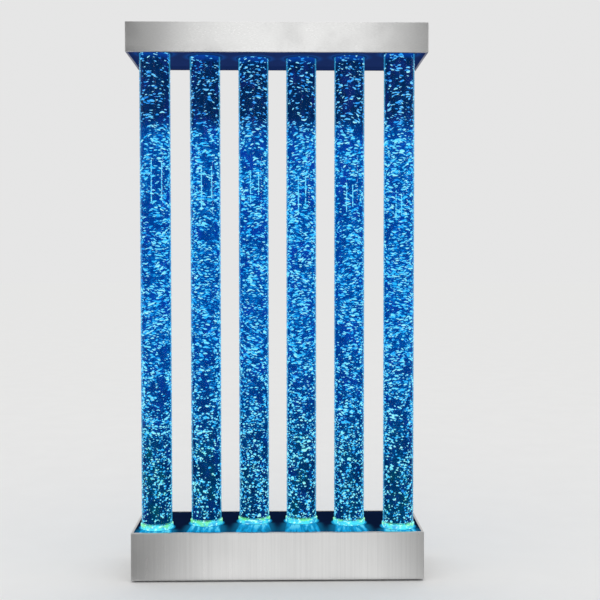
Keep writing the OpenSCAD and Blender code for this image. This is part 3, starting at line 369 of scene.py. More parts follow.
class SharedEffects:
    """The effects that several finishes share, each a node group made once."""

    @staticmethod
    @cache
    def brushed_grain() -> bpy.types.NodeTree:
        """Returns the long fine scratches and soft bands of brushed metal."""
        graph, given, out = start_group("Brushed grain", {"Place": "Vector", "Stretch": "Vector", "Bands": "Vector"},
                                        {"Height": "Float", "Tone": "Float"})
        fine = graph.streaks(given["Place"], given["Stretch"], 3.0, 0.7)
        bands = graph.streaks(given["Place"], given["Bands"], 2.0, 0.6)
        tone = graph.plus(graph.times(fine, 0.45), graph.times(bands, 0.55))
        graph.feed(out, Height=fine, Tone=graph.fit(tone, 0.33, 0.67))
        return graph.tree

    @staticmethod
    @cache
    def smudges() -> bpy.types.NodeTree:
        """Returns the faint cloudy marks that handling leaves."""
        graph, given, out = start_group("Smudges", {"Place": "Vector", "Scale": "Float"}, {"Mask": "Float"})
        wide = graph.noise(given["Place"], given["Scale"], 3.0, 0.55)
        graph.feed(out, Mask=graph.fit(wide, 0.42, 0.68))
        return graph.tree

    @staticmethod
    @cache
    def edge_wear() -> bpy.types.NodeTree:
        """Returns a mask that is 1 on rubbed edges."""
        graph, given, out = start_group("Edge wear", {"Place": "Vector", "Reach": "Float", "Breakup": "Float"},
                                        {"Mask": "Float"})
        round_edge = graph.add("ShaderNodeBevel", samples=4)
        graph.feed(round_edge.inputs, Radius=given["Reach"])
        alike = graph.vector("DOT_PRODUCT", round_edge.outputs[0], graph.normal()).outputs["Value"]
        broken = graph.fit(graph.noise(given["Place"], given["Breakup"], 3.0), 0.35, 0.62)
        turned = graph.fit(graph.math("SUBTRACT", 1.0, alike), 0.02, 0.22)
        graph.feed(out, Mask=graph.times(turned, broken))
        return graph.tree

    @staticmethod
    @cache
    def dust() -> bpy.types.NodeTree:
        """Returns a mask of the thin dust that settles on faces turned up."""
        graph, given, out = start_group("Dust", {"Place": "Vector", "Amount": "Float"}, {"Mask": "Float"})
        up = graph.split(graph.normal())[2]
        cloud = graph.fit(graph.noise(given["Place"], 38.0, 5.0, 0.65), 0.35, 0.75)
        mask = graph.times(graph.fit(up, 0.45, 0.95), cloud)
        graph.feed(out, Mask=graph.times(mask, given["Amount"]))
        return graph.tree

    @staticmethod
    @cache
    def moulded_grain() -> bpy.types.NodeTree:
        """Returns the fine pebbled relief of moulded or painted surfaces."""
        graph, given, out = start_group("Moulded grain", {"Place": "Vector", "Scale": "Float"},
                                        {"Height": "Float", "Tone": "Float"})
        pits = graph.cells(given["Place"], given["Scale"]).outputs["Distance"]
        soft = graph.noise(given["Place"], graph.times(given["Scale"], 0.12), 3.0)
        graph.feed(out, Height=graph.times(pits, soft), Tone=graph.fit(soft, 0.3, 0.7))
        return graph.tree

    @staticmethod
    @cache
    def height_tint() -> bpy.types.NodeTree:
        """Returns a colour that goes from low to middle to high up the tube."""
        colours = {"Low": "Color", "Middle": "Color", "High": "Color"}
        graph, given, out = start_group("Height tint", {"Height": "Float", **colours}, {"Color": "Color"})
        lower = graph.mix(graph.fit(given["Height"], *LOW_TO_MIDDLE), given["Low"], given["Middle"])
        graph.feed(out, Color=graph.mix(graph.fit(given["Height"], *MIDDLE_TO_HIGH), lower, given["High"]))
        return graph.tree

    @staticmethod
    @cache
    def light_pool() -> bpy.types.NodeTree:
        """Returns the light that a tube's end throws on the panel round it: a halo, and a streaked fan ahead."""
        sizes = {name: "Float" for name in ("Inner", "Halo", "Fan", "Reach")}
        graph, given, out = start_group("Light pool", {"Place": "Vector", "Centre": "Vector", **sizes},
                                        {"Mask": "Float"})
        x, y, _ = graph.split(graph.vector("SUBTRACT", given["Place"], given["Centre"]).outputs[0])
        far = graph.math("SQRT", graph.plus(graph.times(x, x), graph.times(y, y)))
        halo = graph.fit(graph.math("SUBTRACT", far, given["Inner"]), 0.0, given["Halo"], 0.6, 0.0)
        ahead = graph.times(y, -1.0)
        beam = graph.plus(given["Inner"], graph.times(graph.math("MAXIMUM", ahead, 0.0), 0.1))
        side = graph.math("DIVIDE", graph.math("ABSOLUTE", x), beam)
        ray_place = graph.add("ShaderNodeCombineXYZ")
        graph.feed(ray_place.inputs, X=graph.times(graph.math("DIVIDE", x, beam), 3.1),
                   Y=graph.times(graph.split(given["Centre"])[0], 23.0), Z=graph.times(ahead, 7.0))
        rays = graph.fit(graph.noise(ray_place.outputs[0], 1.4, 2.0, 0.6), 0.38, 0.6, 0.5, 1.05)
        core = graph.times(graph.fit(side, 1.02, 0.72), rays)
        spill = graph.times(graph.fit(side, 1.5, 0.9), 0.27)
        wash = graph.times(graph.fit(side, 2.3, 1.1), graph.fit(ahead, 0.04, 0.14, 0.0, 0.09))
        fan = graph.math("MAXIMUM", graph.math("MAXIMUM", core, spill), wash)
        fan = graph.times(fan, graph.times(graph.fit(ahead, given["Reach"], 0.03), given["Fan"]))
        forward = graph.fit(ahead, 0.0, 0.04)
        graph.feed(out, Mask=graph.math("MAXIMUM", halo, graph.times(fan, forward), clamp=True))
        return graph.tree


# ---------- finishes ----------


def bare_material(name: str) -> tuple:
    """Starts a material that has only its shader.

    Args:
        name: The material's name.

    Returns:
        The material, its graph and the Principled shader's inputs.
    """
    material = bpy.data.materials.new(name)
    material.use_nodes = True
    material.node_tree.nodes.clear()
    graph = Graph(material.node_tree)
    shader = graph.add("ShaderNodeBsdfPrincipled")
    graph.feed(graph.add("ShaderNodeOutputMaterial").inputs, Surface=shader.outputs[0])
    material.cycles.emission_sampling = "NONE"
    return material, graph, shader.inputs


def toned(colour: tuple, gain: float, lift: float = 0.0) -> tuple:
    """Makes a colour lighter or darker.

    Args:
        colour: The colour.
        gain: What each channel is multiplied by.
        lift: What is added after that.

    Returns:
        The new colour, at most 1 in each channel.
    """
    return tuple(min(1.0, c * gain + lift) for c in colour)


@dataclass(frozen=True)
class Finish:
    """A material of the lamp: its name, and how its nodes are laid out."""

    name: str

    def material(self) -> bpy.types.Material:
        """Returns the material, made once."""
        found = bpy.data.materials.get(self.name)
        if found is None:
            found, graph, shader = bare_material(self.name)
            self.lay_out(graph, shader)
        return found

    def lay_out(self, graph: Graph, shader: object) -> None:
        """Adds the nodes that feed the shader.

        Args:
            graph: The material's tree.
            shader: The Principled shader's inputs.
        """
        raise NotImplementedError


@dataclass(frozen=True)
class BrushedSteel(Finish):
    """Brushed stainless sheet. The cap's is lit blue where it faces its own inside or down."""

    colour: tuple = (0.58, 0.58, 0.575)
    rubbed: tuple = (0.78, 0.78, 0.77)
    grain: Grain = Grain.UPRIGHT
    rough: float = 0.32
    contrast: float = 0.045
    along: float = 0.0
    smudged: float = 0.07
    under: tuple = ()
    under_top: float = 1734.5 * MM
    under_end: float = 1735.2 * MM

    def lay_out(self, graph: Graph, shader: object) -> None:
        """Adds grain, soft bands, faint smudges, rubbed edges and the cap's blue light.

        Args:
            graph: The material's tree.
            shader: The Principled shader's inputs.
        """
        place = graph.place()
        if self.grain is Grain.UPRIGHT:
            stretch, bands = (1400.0, 1400.0, 9.0), (210.0, 210.0, 2.2)
        else:
            stretch, bands = (130.0, 1100.0, 1100.0), (120.0, 420.0, 420.0)
        height, tone = graph.group(SharedEffects.brushed_grain(), Place=place, Stretch=stretch, Bands=bands).outputs
        marks = graph.effect(SharedEffects.smudges(), Place=place, Scale=7.0)
        worn = graph.effect(SharedEffects.edge_wear(), Place=place, Reach=0.0012, Breakup=60.0)
        body = graph.mix(tone, toned(self.colour, 1.0 - self.contrast), toned(self.colour, 1.0 + self.contrast))
        body = graph.mix(worn, body, self.rubbed)
        if self.under:
            body = graph.mix(self.lit_under(graph, place), body, self.under)
        rough = graph.plus(self.rough, graph.times(marks, self.smudged))
        graph.feed(shader, Base_Color=body, Metallic=1.0, Anisotropic=self.along, Anisotropic_Rotation=0.25,
                   Roughness=graph.plus(rough, graph.times(tone, -0.05)), Normal=graph.bump(height, 0.05, 0.0003))

    def lit_under(self, graph: Graph, place: bpy.types.NodeSocket) -> bpy.types.NodeSocket:
        """Finds where the cap's steel takes the blue light of its underside.

        Args:
            graph: The material's tree.
            place: The place on the piece.

        Returns:
            A mask that is 1 on the cap's inner faces below its panel, and on faces turned down.
        """
        normal = graph.normal()
        level = graph.stretched(place, (1.0, 1.0, 0.0))
        inward = graph.fit(graph.vector("DOT_PRODUCT", level, normal).outputs["Value"], -0.01, -0.05)
        inward = graph.times(inward, graph.fit(graph.split(place)[2], self.under_end, self.under_top))
        return graph.math("MAXIMUM", inward, graph.fit(graph.split(normal)[2], -0.75, -0.95))


@dataclass(frozen=True)
class PaintedMetal(Finish):
    """Powder-coated or painted steel, worn at the edges."""

    colour: tuple = (0.06, 0.062, 0.068)
    rough: float = 0.5
    bare: tuple = (0.35, 0.35, 0.36)

    def lay_out(self, graph: Graph, shader: object) -> None:
        """Adds the coat's pebbling, dust and rubbed edges.

        Args:
            graph: The material's tree.
            shader: The Principled shader's inputs.
        """
        place = graph.place()
        height, tone = graph.group(SharedEffects.moulded_grain(), Place=place, Scale=900.0).outputs
        worn = graph.effect(SharedEffects.edge_wear(), Place=place, Reach=0.0008, Breakup=90.0)
        dusty = graph.effect(SharedEffects.dust(), Place=place, Amount=0.22)
        body = graph.mix(tone, toned(self.colour, 0.85), toned(self.colour, 1.15))
        body = graph.mix(dusty, body, DUST_TONE)
        graph.feed(shader, Base_Color=graph.mix(worn, body, self.bare),
                   Roughness=graph.plus(self.rough, graph.times(dusty, 0.3)),
                   Normal=graph.bump(height, 0.25, 0.0002))


@dataclass(frozen=True)
class TurnedMetal(Finish):
    """Bare turned or cast metal: brass, aluminium or plated steel."""

    colour: tuple = (0.7, 0.7, 0.71)
    rough: float = 0.3
    tarnish: tuple = (0.4, 0.4, 0.41)

    def lay_out(self, graph: Graph, shader: object) -> None:
        """Adds tool marks, tarnish and bright edges.

        Args:
            graph: The material's tree.
            shader: The Principled shader's inputs.
        """
        place = graph.place()
        grain = graph.effect(SharedEffects.brushed_grain(), Place=place, Stretch=(500.0, 500.0, 900.0),
                             Bands=(60.0, 60.0, 60.0))
        marks = graph.effect(SharedEffects.smudges(), Place=place, Scale=45.0)
        worn = graph.effect(SharedEffects.edge_wear(), Place=place, Reach=0.0006, Breakup=140.0)
        body = graph.mix(graph.times(marks, 0.45), self.colour, self.tarnish)
        graph.feed(shader, Base_Color=graph.mix(worn, body, toned(self.colour, 1.25)), Metallic=1.0,
                   Roughness=graph.plus(self.rough, graph.times(marks, 0.12)),
                   Normal=graph.bump(grain, 0.12, 0.0002))


@dataclass(frozen=True)
class Moulded(Finish):
    """Moulded plastic, rubber or silicone."""

    colour: tuple = (0.02, 0.02, 0.022)
    rough: float = 0.42
    scale: float = 1100.0
    relief: float = 0.2
    dust: float = 0.15
    soft: float = 0.0

    def lay_out(self, graph: Graph, shader: object) -> None:
        """Adds the mould's texture, dust and polished edges.

        Args:
            graph: The material's tree.
            shader: The Principled shader's inputs.
        """
        place = graph.place()
        height, tone = graph.group(SharedEffects.moulded_grain(), Place=place, Scale=self.scale).outputs
        worn = graph.effect(SharedEffects.edge_wear(), Place=place, Reach=0.0006, Breakup=120.0)
        dusty = graph.effect(SharedEffects.dust(), Place=place, Amount=self.dust)
        body = graph.mix(tone, toned(self.colour, 0.88), toned(self.colour, 1.12, 0.002))
        body = graph.mix(graph.times(worn, 0.35), body, toned(self.colour, 1.5, 0.03))
        graph.feed(shader, Base_Color=graph.mix(dusty, body, DUST_TONE),
                   Roughness=graph.plus(self.rough, graph.times(dusty, 0.35)),
                   Normal=graph.bump(height, self.relief, 0.00025))
        if self.soft:
            graph.feed(shader, Subsurface_Weight=self.soft, Subsurface_Radius=(2 * MM, 2 * MM, 2 * MM))


@dataclass(frozen=True)
class CircuitBoard(Finish):
    """White solder-masked light boards, with their lit chips, which stand above the board."""

    board_top: float = 135.92 * MM
    chips_lit: float = 136.3 * MM

    def lay_out(self, graph: Graph, shader: object) -> None:
        """Adds the mask's tone and the glow of the chips.

        Args:
            graph: The material's tree.
            shader: The Principled shader's inputs.
        """
        place = graph.place()
        tone = graph.group(SharedEffects.moulded_grain(), Place=place, Scale=700.0).outputs["Tone"]
        chips = graph.fit(graph.split(place)[2], self.board_top, self.chips_lit, smooth=False)
        graph.feed(shader, Base_Color=graph.mix(tone, (0.62, 0.65, 0.66), (0.8, 0.82, 0.82)), Roughness=0.35,
                   Emission_Color=graph.mix(chips, BLACK, (0.25, 0.8, 1.0)), Emission_Strength=1.0)


@dataclass(frozen=True)
class PorousStone(Finish):
    """The sintered stone that breaks the air into bubbles."""

    def lay_out(self, graph: Graph, shader: object) -> None:
        """Adds the grains and their relief.

        Args:
            graph: The material's tree.
            shader: The Principled shader's inputs.
        """
        grains = graph.cells(graph.place(), 900.0).outputs["Distance"]
        graph.feed(shader, Base_Color=graph.mix(grains, (0.25, 0.32, 0.36), (0.75, 0.8, 0.8)), Roughness=0.9,
                   Normal=graph.bump(grains, 0.8, 0.0006))


@dataclass(frozen=True)
class ClearAcrylic(Finish):
    """The polished clear tube. Its low index of refraction keeps the pale studio off the dark water."""

    ior: float = 1.12

    def lay_out(self, graph: Graph, shader: object) -> None:
        """Adds the faint cast of thick acrylic and slight waviness.

        Args:
            graph: The material's tree.
            shader: The Principled shader's inputs.
        """
        waves = graph.streaks(graph.place(), (9.0, 9.0, 2.2), 1.0)
        graph.feed(shader, Base_Color=graph.mix(waves, (0.93, 0.98, 1.0), (0.98, 1.0, 1.0)), Roughness=0.06,
                   IOR=self.ior, Transmission_Weight=1.0, Normal=graph.bump(waves, 0.05, 0.002))


def up_the_tube(graph: Graph, height: bpy.types.NodeSocket, colours: tuple) -> bpy.types.NodeSocket:
    """Makes a colour that changes up the tube.

    Args:
        graph: The material's tree.
        height: The height in metres.
        colours: The colours low down, in the middle and high up.

    Returns:
        The colour.
    """
    low, middle, high = colours
    return graph.effect(SharedEffects.height_tint(), Height=height, Low=low, Middle=middle, High=high)


@dataclass(frozen=True)
class LitWater(Finish):
    """The blue body of the lit water behind the bubbles. Its three colours are low, middle and high up."""

    dark: tuple = ((0.0, 0.006, 0.044), (0.0, 0.026, 0.21), (0.001, 0.0055, 0.03))
    lit: tuple = ((0.0, 0.1, 0.33), (0.002, 0.26, 0.8), (0.001, 0.055, 0.24))
    dusk: tuple = ((0.002, 0.016, 0.17), (0.003, 0.03, 0.36), (0.006, 0.01, 0.13))
    brim: tuple = (0.004, 0.075, 0.5)
    brim_low: float = 1702 * MM
    brim_high: float = 1726 * MM
    leaf: tuple = (0.0, 0.09, 0.05)
    # the colour of the painted highlight where the water is seen side-on
    rim: tuple = (0.04, 0.42, 0.72)

    def lay_out(self, graph: Graph, shader: object) -> None:
        """Adds drifting light and dark, brighter where the bubbles crowd, and far bubbles out of focus.

        Blue-violet clouds, a glow under the brim, the green column near the foot and a painted bright highlight
        where the water is seen side-on lie over them.

        Args:
            graph: The material's tree.
            shader: The Principled shader's inputs.
        """
        place = graph.place()
        height = graph.split(place)[2]
        drift = graph.fit(graph.streaks(place, (70.0, 70.0, 190.0), 3.0, 0.7), 0.4, 0.7)
        far = graph.cells(graph.stretched(place, (130.0, 130.0, 330.0)), 1.0).outputs
        chosen = graph.fit(graph.split(far["Color"])[0], 0.25, 0.8)
        spots = graph.times(graph.fit(far["Distance"], 0.55, 0.1), chosen)
        share = graph.plus(graph.times(drift, 0.5), graph.times(spots, 0.65))
        share = graph.times(share, graph.fit(graph.kept("crowd"), 0.0, 0.8, 0.2, 1.15), clamp=True)
        body = graph.mix(share, up_the_tube(graph, height, self.dark), up_the_tube(graph, height, self.lit))
        clouds = graph.fit(graph.streaks(place, (26.0, 26.0, 17.0), 2.0, 0.6), 0.48, 0.66, 0.0, 0.62)
        body = graph.mix(clouds, body, up_the_tube(graph, height, self.dusk))
        body = graph.mix(graph.fit(height, self.brim_low, self.brim_high, 0.0, 0.55), body, self.brim)
        body = graph.mix(graph.times(graph.kept("green"), 0.45), body, self.leaf)
        # painted highlight: bright cyan where the water's surface is seen side-on
        side_on_highlight = graph.fit(graph.add("ShaderNodeLayerWeight").outputs["Facing"], 0.46, 0.53, 0.0, 0.55)
        graph.feed(shader, Base_Color=(0.0, 0.02, 0.08), Roughness=0.6, Specular_IOR_Level=0.0,
                   Emission_Color=graph.mix(side_on_highlight, body, self.rim), Emission_Strength=1.0)


@dataclass(frozen=True)
class BubbleSkin(Finish):
    """Air bubbles lit from below. Its three colours are low, middle and high up."""

    dim: tuple = ((0.0, 0.13, 0.58), (0.0, 0.19, 0.76), (0.001, 0.072, 0.46))
    deep: tuple = ((0.03, 0.54, 1.0), (0.015, 0.5, 1.0), (0.025, 0.35, 0.97))
    bright: tuple = ((0.28, 0.94, 1.0), (0.17, 0.79, 1.0), (0.13, 0.58, 0.97))
    leaf: tuple = (0.2, 0.88, 0.6)
    spark: tuple = (0.42, 0.95, 1.0)

    def lay_out(self, graph: Graph, shader: object) -> None:
        """Adds the glow of each bubble, strongest on its under side, greener near the foot.

        Args:
            graph: The material's tree.
            shader: The Principled shader's inputs.
        """
        height = graph.split(graph.place())[2]
        dim, deep, bright = (up_the_tube(graph, height, three) for three in (self.dim, self.deep, self.bright))
        bright = graph.mix(graph.kept("green"), bright, self.leaf)
        under = graph.split(graph.normal())[2]
        lit = graph.times(graph.kept("glow"), graph.fit(under, 0.9, -0.5, 0.7, 1.15))
        colour = graph.mix(graph.fit(lit, 0.0, 0.58), dim, deep)
        colour = graph.mix(graph.fit(lit, 0.58, 0.9), colour, bright)
        graph.feed(shader, Base_Color=(0.006, 0.06, 0.13), Roughness=0.3, Specular_IOR_Level=0.1,
                   Emission_Color=graph.mix(graph.fit(lit, 0.98, 1.25), colour, self.spark), Emission_Strength=1.0)


@dataclass(frozen=True)
class GlowingAcrylic(Finish):
    """The clear foot, full of light from the ring below it."""

    deep_aqua: tuple = (0.0, 0.2, 0.5)
    aqua: tuple = (0.03, 0.62, 0.72)
    leaf: tuple = (0.13, 0.62, 0.14)
    spark: tuple = (0.5, 1.0, 0.95)
    below_deck: tuple = (0.0, 0.12, 0.2)
    neck_low: float = 140 * MM
    neck_high: float = 162 * MM
    collar_low: float = 163 * MM
    collar_high: float = 176 * MM

    def lay_out(self, graph: Graph, shader: object) -> None:
        """Adds patches of aqua, green and near white light.

        Args:
            graph: The material's tree.
            shader: The Principled shader's inputs.
        """
        place = graph.place()
        height = graph.split(place)[2]
        patches = graph.streaks(place, (38.0, 38.0, 60.0), 3.0, 0.6)
        body = graph.mix(graph.fit(patches, 0.32, 0.6), self.deep_aqua, self.aqua)
        green = graph.noise(graph.stretched(place, (26.0, 26.0, 30.0)), 1.4, 3.0)
        green = graph.plus(green, graph.fit(height, self.collar_low, self.collar_high, 0.0, 0.16))
        body = graph.mix(graph.fit(green, 0.57, 0.7), body, self.leaf)
        glint = graph.fit(graph.streaks(place, (90.0, 90.0, 130.0)), 0.54, 0.68)
        body = graph.mix(glint, body, self.spark)
        neck = graph.fit(height, self.neck_low, self.neck_high)
        graph.feed(shader, Base_Color=(0.1, 0.35, 0.4), Roughness=0.08,
                   Emission_Color=graph.mix(neck, self.below_deck, body), Emission_Strength=1.0)


@dataclass(frozen=True)
class LitPanel(Finish):
    """A dark panel that carries pools of light from the tubes."""

    colour: tuple = (0.002, 0.006, 0.026)
    glow: tuple = (0.008, 0.36, 0.72)
    heart: tuple = (0.13, 0.72, 0.92)
    # the faint painted spill of tube light that lies over the whole panel
    painted_spill_light: tuple = (0.0015, 0.004, 0.012)
    centres: tuple = ()
    inner: float = 54 * MM
    halo: float = 11 * MM
    fan: float = 1.0
    reach: float = 300 * MM
    rough: float = 0.4

    def lay_out(self, graph: Graph, shader: object) -> None:
        """Adds one pool of painted light for each tube, and a faint painted spill of tube light between them.

        Args:
            graph: The material's tree.
            shader: The Principled shader's inputs.
        """
        place = graph.place()
        marks = graph.effect(SharedEffects.smudges(), Place=place, Scale=16.0)
        pools = [graph.effect(SharedEffects.light_pool(), Place=place, Centre=(*centre, 0.0), Inner=self.inner,
                              Halo=self.halo, Fan=self.fan, Reach=self.reach) for centre in self.centres]
        total = reduce(graph.plus, pools)
        # painted light: from the faint spill between the pools up to the pools' glow
        glow = graph.mix(graph.fit(total, 0.0, 0.75), self.painted_spill_light, self.glow)
        graph.feed(shader, Base_Color=graph.mix(marks, self.colour, toned(self.colour, 1.3)),
                   Roughness=graph.plus(self.rough, graph.times(marks, 0.1)), Specular_IOR_Level=0.0,
                   Emission_Color=graph.mix(graph.fit(total, 0.7, 1.1), glow, self.heart), Emission_Strength=1.0)


class Finishes:
    """The finish of each material slot of the record, with the few nodes that differ from their slot."""

    def __init__(self, centres: tuple) -> None:
        """Makes the finishes.

        Args:
            centres: Where the tubes stand, as x and y in metres.
        """
        self.tube, self.foot = ClearAcrylic("clear acrylic tube"), GlowingAcrylic("glowing acrylic foot")
        self.water, self.bubbles = LitWater("lit water"), BubbleSkin("lit bubbles")
        self.by_slot = {
            "clear_acrylic": self.tube,
            "glowing_acrylic": self.foot,
            "lit_water": self.water,
            "brushed_stainless": BrushedSteel("brushed stainless, upright grain"),
            "deck_gloss_black": LitPanel("dark deck panel", centres=centres),
            # The underside panel is dark blue, and most of its blue is painted light from the tubes: a faint spill
            # all over and a halo round each tube.
            "soffit_panel": LitPanel(
                "underside panel in painted blue tube light", colour=(0.006, 0.012, 0.05), glow=(0.006, 0.06, 0.26),
                heart=(0.006, 0.07, 0.3), painted_spill_light=(0.006, 0.017, 0.075), centres=centres,
                inner=45 * MM, halo=45 * MM, fan=0.0, rough=0.5),
            "lit_rubber": LitPanel(
                "grommet rubber, lit by its tube", colour=(0.01, 0.02, 0.05), glow=(0.001, 0.03, 0.14),
                heart=(0.001, 0.04, 0.2), painted_spill_light=(0.001, 0.012, 0.06), centres=centres,
                inner=50 * MM, halo=20 * MM, fan=0.0, rough=0.6),
            "painted_frame": PaintedMetal("painted frame steel"),
            "black_rubber": Moulded("black rubber", colour=(0.014, 0.014, 0.015), rough=0.62, relief=0.35),
            "black_plastic": Moulded("black moulded plastic", colour=(0.02, 0.02, 0.022)),
            "white_board": CircuitBoard("white light board"),
            "sink_aluminium": TurnedMetal("cast aluminium sink", colour=(0.55, 0.56, 0.57), rough=0.42),
            "turned_aluminium": TurnedMetal("turned aluminium", colour=(0.72, 0.73, 0.74), rough=0.28),
            "pump_body_paint": PaintedMetal("pump housing paint", colour=(0.035, 0.05, 0.075), rough=0.4),
            "valve_brass": TurnedMetal("brass", colour=(0.66, 0.46, 0.19), rough=0.3, tarnish=(0.34, 0.22, 0.09)),
            "knob_red": Moulded("red moulded knob", colour=(0.42, 0.02, 0.015), rough=0.35),
            "silicone_hose": Moulded("clear silicone hose", colour=(0.55, 0.68, 0.72), rough=0.25, relief=0.05,
                                     soft=0.5),
            "valve_white": Moulded("white check valve", colour=(0.72, 0.73, 0.72), rough=0.35),
            "porous_stone": PorousStone("porous air stone"),
            "supply_cage": TurnedMetal("plated supply cage", colour=(0.6, 0.61, 0.62), rough=0.4),
            "box_white": Moulded("white moulded box", colour=(0.7, 0.7, 0.69), rough=0.45),
            "lead_black": Moulded("black lead sheath", colour=(0.016, 0.016, 0.017), rough=0.5, scale=2200.0),
            "plated_steel": TurnedMetal("plated steel", colour=(0.62, 0.62, 0.63), rough=0.3),
        }
        cap_steel = BrushedSteel("brushed stainless, lit blue from below", grain=Grain.LENGTHWAYS,
                                 along=0.93, under=(0.014, 0.032, 0.13))
        self.by_node = {
            "cap_fascia": cap_steel,
            "cap_lid": replace(cap_steel, name="brushed stainless of the lid", smudged=0.02),
            # The black frame under the cap takes the underside panel's painted blue tube light.
            "cap_frame": self.by_slot["soffit_panel"],
            "cap_grommets": self.by_slot["lit_rubber"],
        }

    def of_node(self, node: str, slot: str) -> Finish:
        """Returns the finish of a CAD node.

        Args:
            node: The node's name.
            slot: The record's material slot of that node.

        Returns:
            The finish.
        """
        return self.by_node.get(node) or self.by_slot[slot]


# ---------- meshes ----------


def linked_object(name: str, data: bpy.types.ID, material: bpy.types.Material | None = None) -> bpy.types.Object:
    """Puts a mesh, a lamp or a camera in the scene.

    Args:
        name: The object's name.
        data: Its mesh, light or camera.
        material: A mesh's material.

    Returns:
        The object.
    """
    if material:
        data.materials.append(material)
    thing = bpy.data.objects.new(name, data)
    bpy.context.scene.collection.objects.link(thing)
    return thing


def turned_mesh(name: str, profile: list, centre: tuple, steps: int = 96) -> bpy.types.Mesh:
    """Turns a closed outline round an upright axis.

    Args:
        name: The mesh's name.
        profile: Points (radius, height) in metres, in order round the outline.
        centre: The axis, as x and y.
        steps: How many sides the round has.

    Returns:
        The mesh.
    """
    rings, verts = [], []
    for radius, height in profile:
        if radius < ON_AXIS:
            rings.append([len(verts)] * steps)
            verts.append((centre[0], centre[1], height))
            continue
        rings.append(list(range(len(verts), len(verts) + steps)))
        verts += [(centre[0] + radius * math.cos(a), centre[1] + radius * math.sin(a), height)
                  for a in (FULL_TURN * i / steps for i in range(steps))]
    faces = []
    for low, high in zip(rings, rings[1:] + rings[:1]):
        for i in range(steps):
            j = (i + 1) % steps
            corners = list(dict.fromkeys((low[i], low[j], high[j], high[i])))
            if len(corners) > 2:
                faces.append(corners)
    mesh = bpy.data.meshes.new(name)
    mesh.from_pydata(verts, [], faces)
    mesh.validate()
    mesh.shade_smooth()
    mesh.set_sharp_from_angle(angle=math.radians(SHARP_TURN))
    return mesh


def eased(profile: list, ease: float) -> list:
    """Takes the corners off a closed outline.

    Args:
        profile: Points (radius, height) in order.
        ease: How far along each side the corner is cut, in metres.

    Returns:
        The outline with each corner off the axis made of two points.
    """
    out = []
    for i, point in enumerate(profile):
        if point[0] < ON_AXIS:
            out.append(point)
            continue
        here = Vector(point)
        for other in (Vector(profile[i - 1]), Vector(profile[(i + 1) % len(profile)])):
            way = other - here
            out.append(tuple(here + way.normalized() * min(ease, way.length * MOST_EASED)))
    return out


def keep_values(mesh: bpy.types.Mesh, name: str, values: np.ndarray) -> None:
    """Keeps one value at each point of a mesh, for its material to read.

    Args:
        mesh: The mesh.
        name: The attribute's name.
        values: The values.
    """
    mesh.attributes.new(name, "FLOAT", "POINT").data.foreach_set("value", values.astype(np.float32))


def triangle_mesh(name: str, points: np.ndarray, faces: np.ndarray) -> bpy.types.Mesh:
    """Makes a smooth mesh of many triangles.

    Args:
        name: The mesh's name.
        points: The points, one row each.
        faces: Three point numbers in each row.

    Returns:
        The mesh.
    """
    mesh = bpy.data.meshes.new(name)
    mesh.vertices.add(len(points))
    mesh.vertices.foreach_set("co", points.astype(np.float32).ravel())
    mesh.loops.add(faces.size)
    mesh.loops.foreach_set("vertex_index", faces.astype(np.int32).ravel())
    mesh.polygons.add(len(faces))
    mesh.polygons.foreach_set("loop_start", np.arange(0, faces.size, 3, dtype=np.int32))
    mesh.update(calc_edges=True)
    mesh.shade_smooth()
    return mesh


@dataclass
class DomeShape:
    """The unit dome that bubbles of one fineness are copied from: rings from rim to top, and a flat back."""

    sides: int
    rings: int
    points: np.ndarray = field(init=False)
    faces: np.ndarray = field(init=False)

    def __post_init__(self) -> None:
        """Works out the dome's points, as depth, across and up, and its triangles."""
        points, faces, n = [], [], self.sides
        for ring in range(self.rings):
            lift = math.pi / 2 * ring / self.rings
            points += [(math.sin(lift), math.cos(lift) * math.cos(a), math.cos(lift) * math.sin(a))
                       for a in (FULL_TURN * (i + 0.5 * ring) / n for i in range(n))]
        points.append((1.0, 0.0, 0.0))
        for ring in range(self.rings - 1):
            low, high = ring * n, (ring + 1) * n
            for i in range(n):
                j = (i + 1) % n
                faces += [(low + i, low + j, high + i), (low + j, high + j, high + i)]
        last = (self.rings - 1) * n
        faces += [(last + i, last + (i + 1) % n, self.rings * n) for i in range(n)]
        faces += [(0, i + 1, i) for i in range(1, n - 1)]
        self.points, self.faces = np.array(points), np.array(faces, np.int32)


@dataclass
class Drift:
    """Cloudy values wrapped round a tube, from 0 to 1."""

    rng: np.random.Generator
    low: float
    high: float
    rows: int
    columns: int
    values: np.ndarray = field(init=False)

    def __post_init__(self) -> None:
        """Draws the values at the knots."""
        self.values = self.rng.random((self.rows + 1, self.columns))

    def at(self, angle: np.ndarray, height: np.ndarray) -> np.ndarray:
        """Reads the value at each place.

        Args:
            angle: Angles round the tube.
            height: Heights in metres.

        Returns:
            A value from 0 to 1 for each place.
        """
        up = np.clip((height - self.low) / (self.high - self.low), 0.0, 0.99999) * self.rows
        turn = (angle / FULL_TURN % 1.0) * self.columns
        i, j = np.floor(up).astype(int), np.floor(turn).astype(int) % self.columns
        u, v = up - np.floor(up), turn - np.floor(turn)
        u, v, k = u * u * (3 - 2 * u), v * v * (3 - 2 * v), (j + 1) % self.columns
        below = self.values[i, j] * (1 - v) + self.values[i, k] * v
        above = self.values[i + 1, j] * (1 - v) + self.values[i + 1, k] * v
        return below * (1 - u) + above * u


# ---------- the tubes ----------


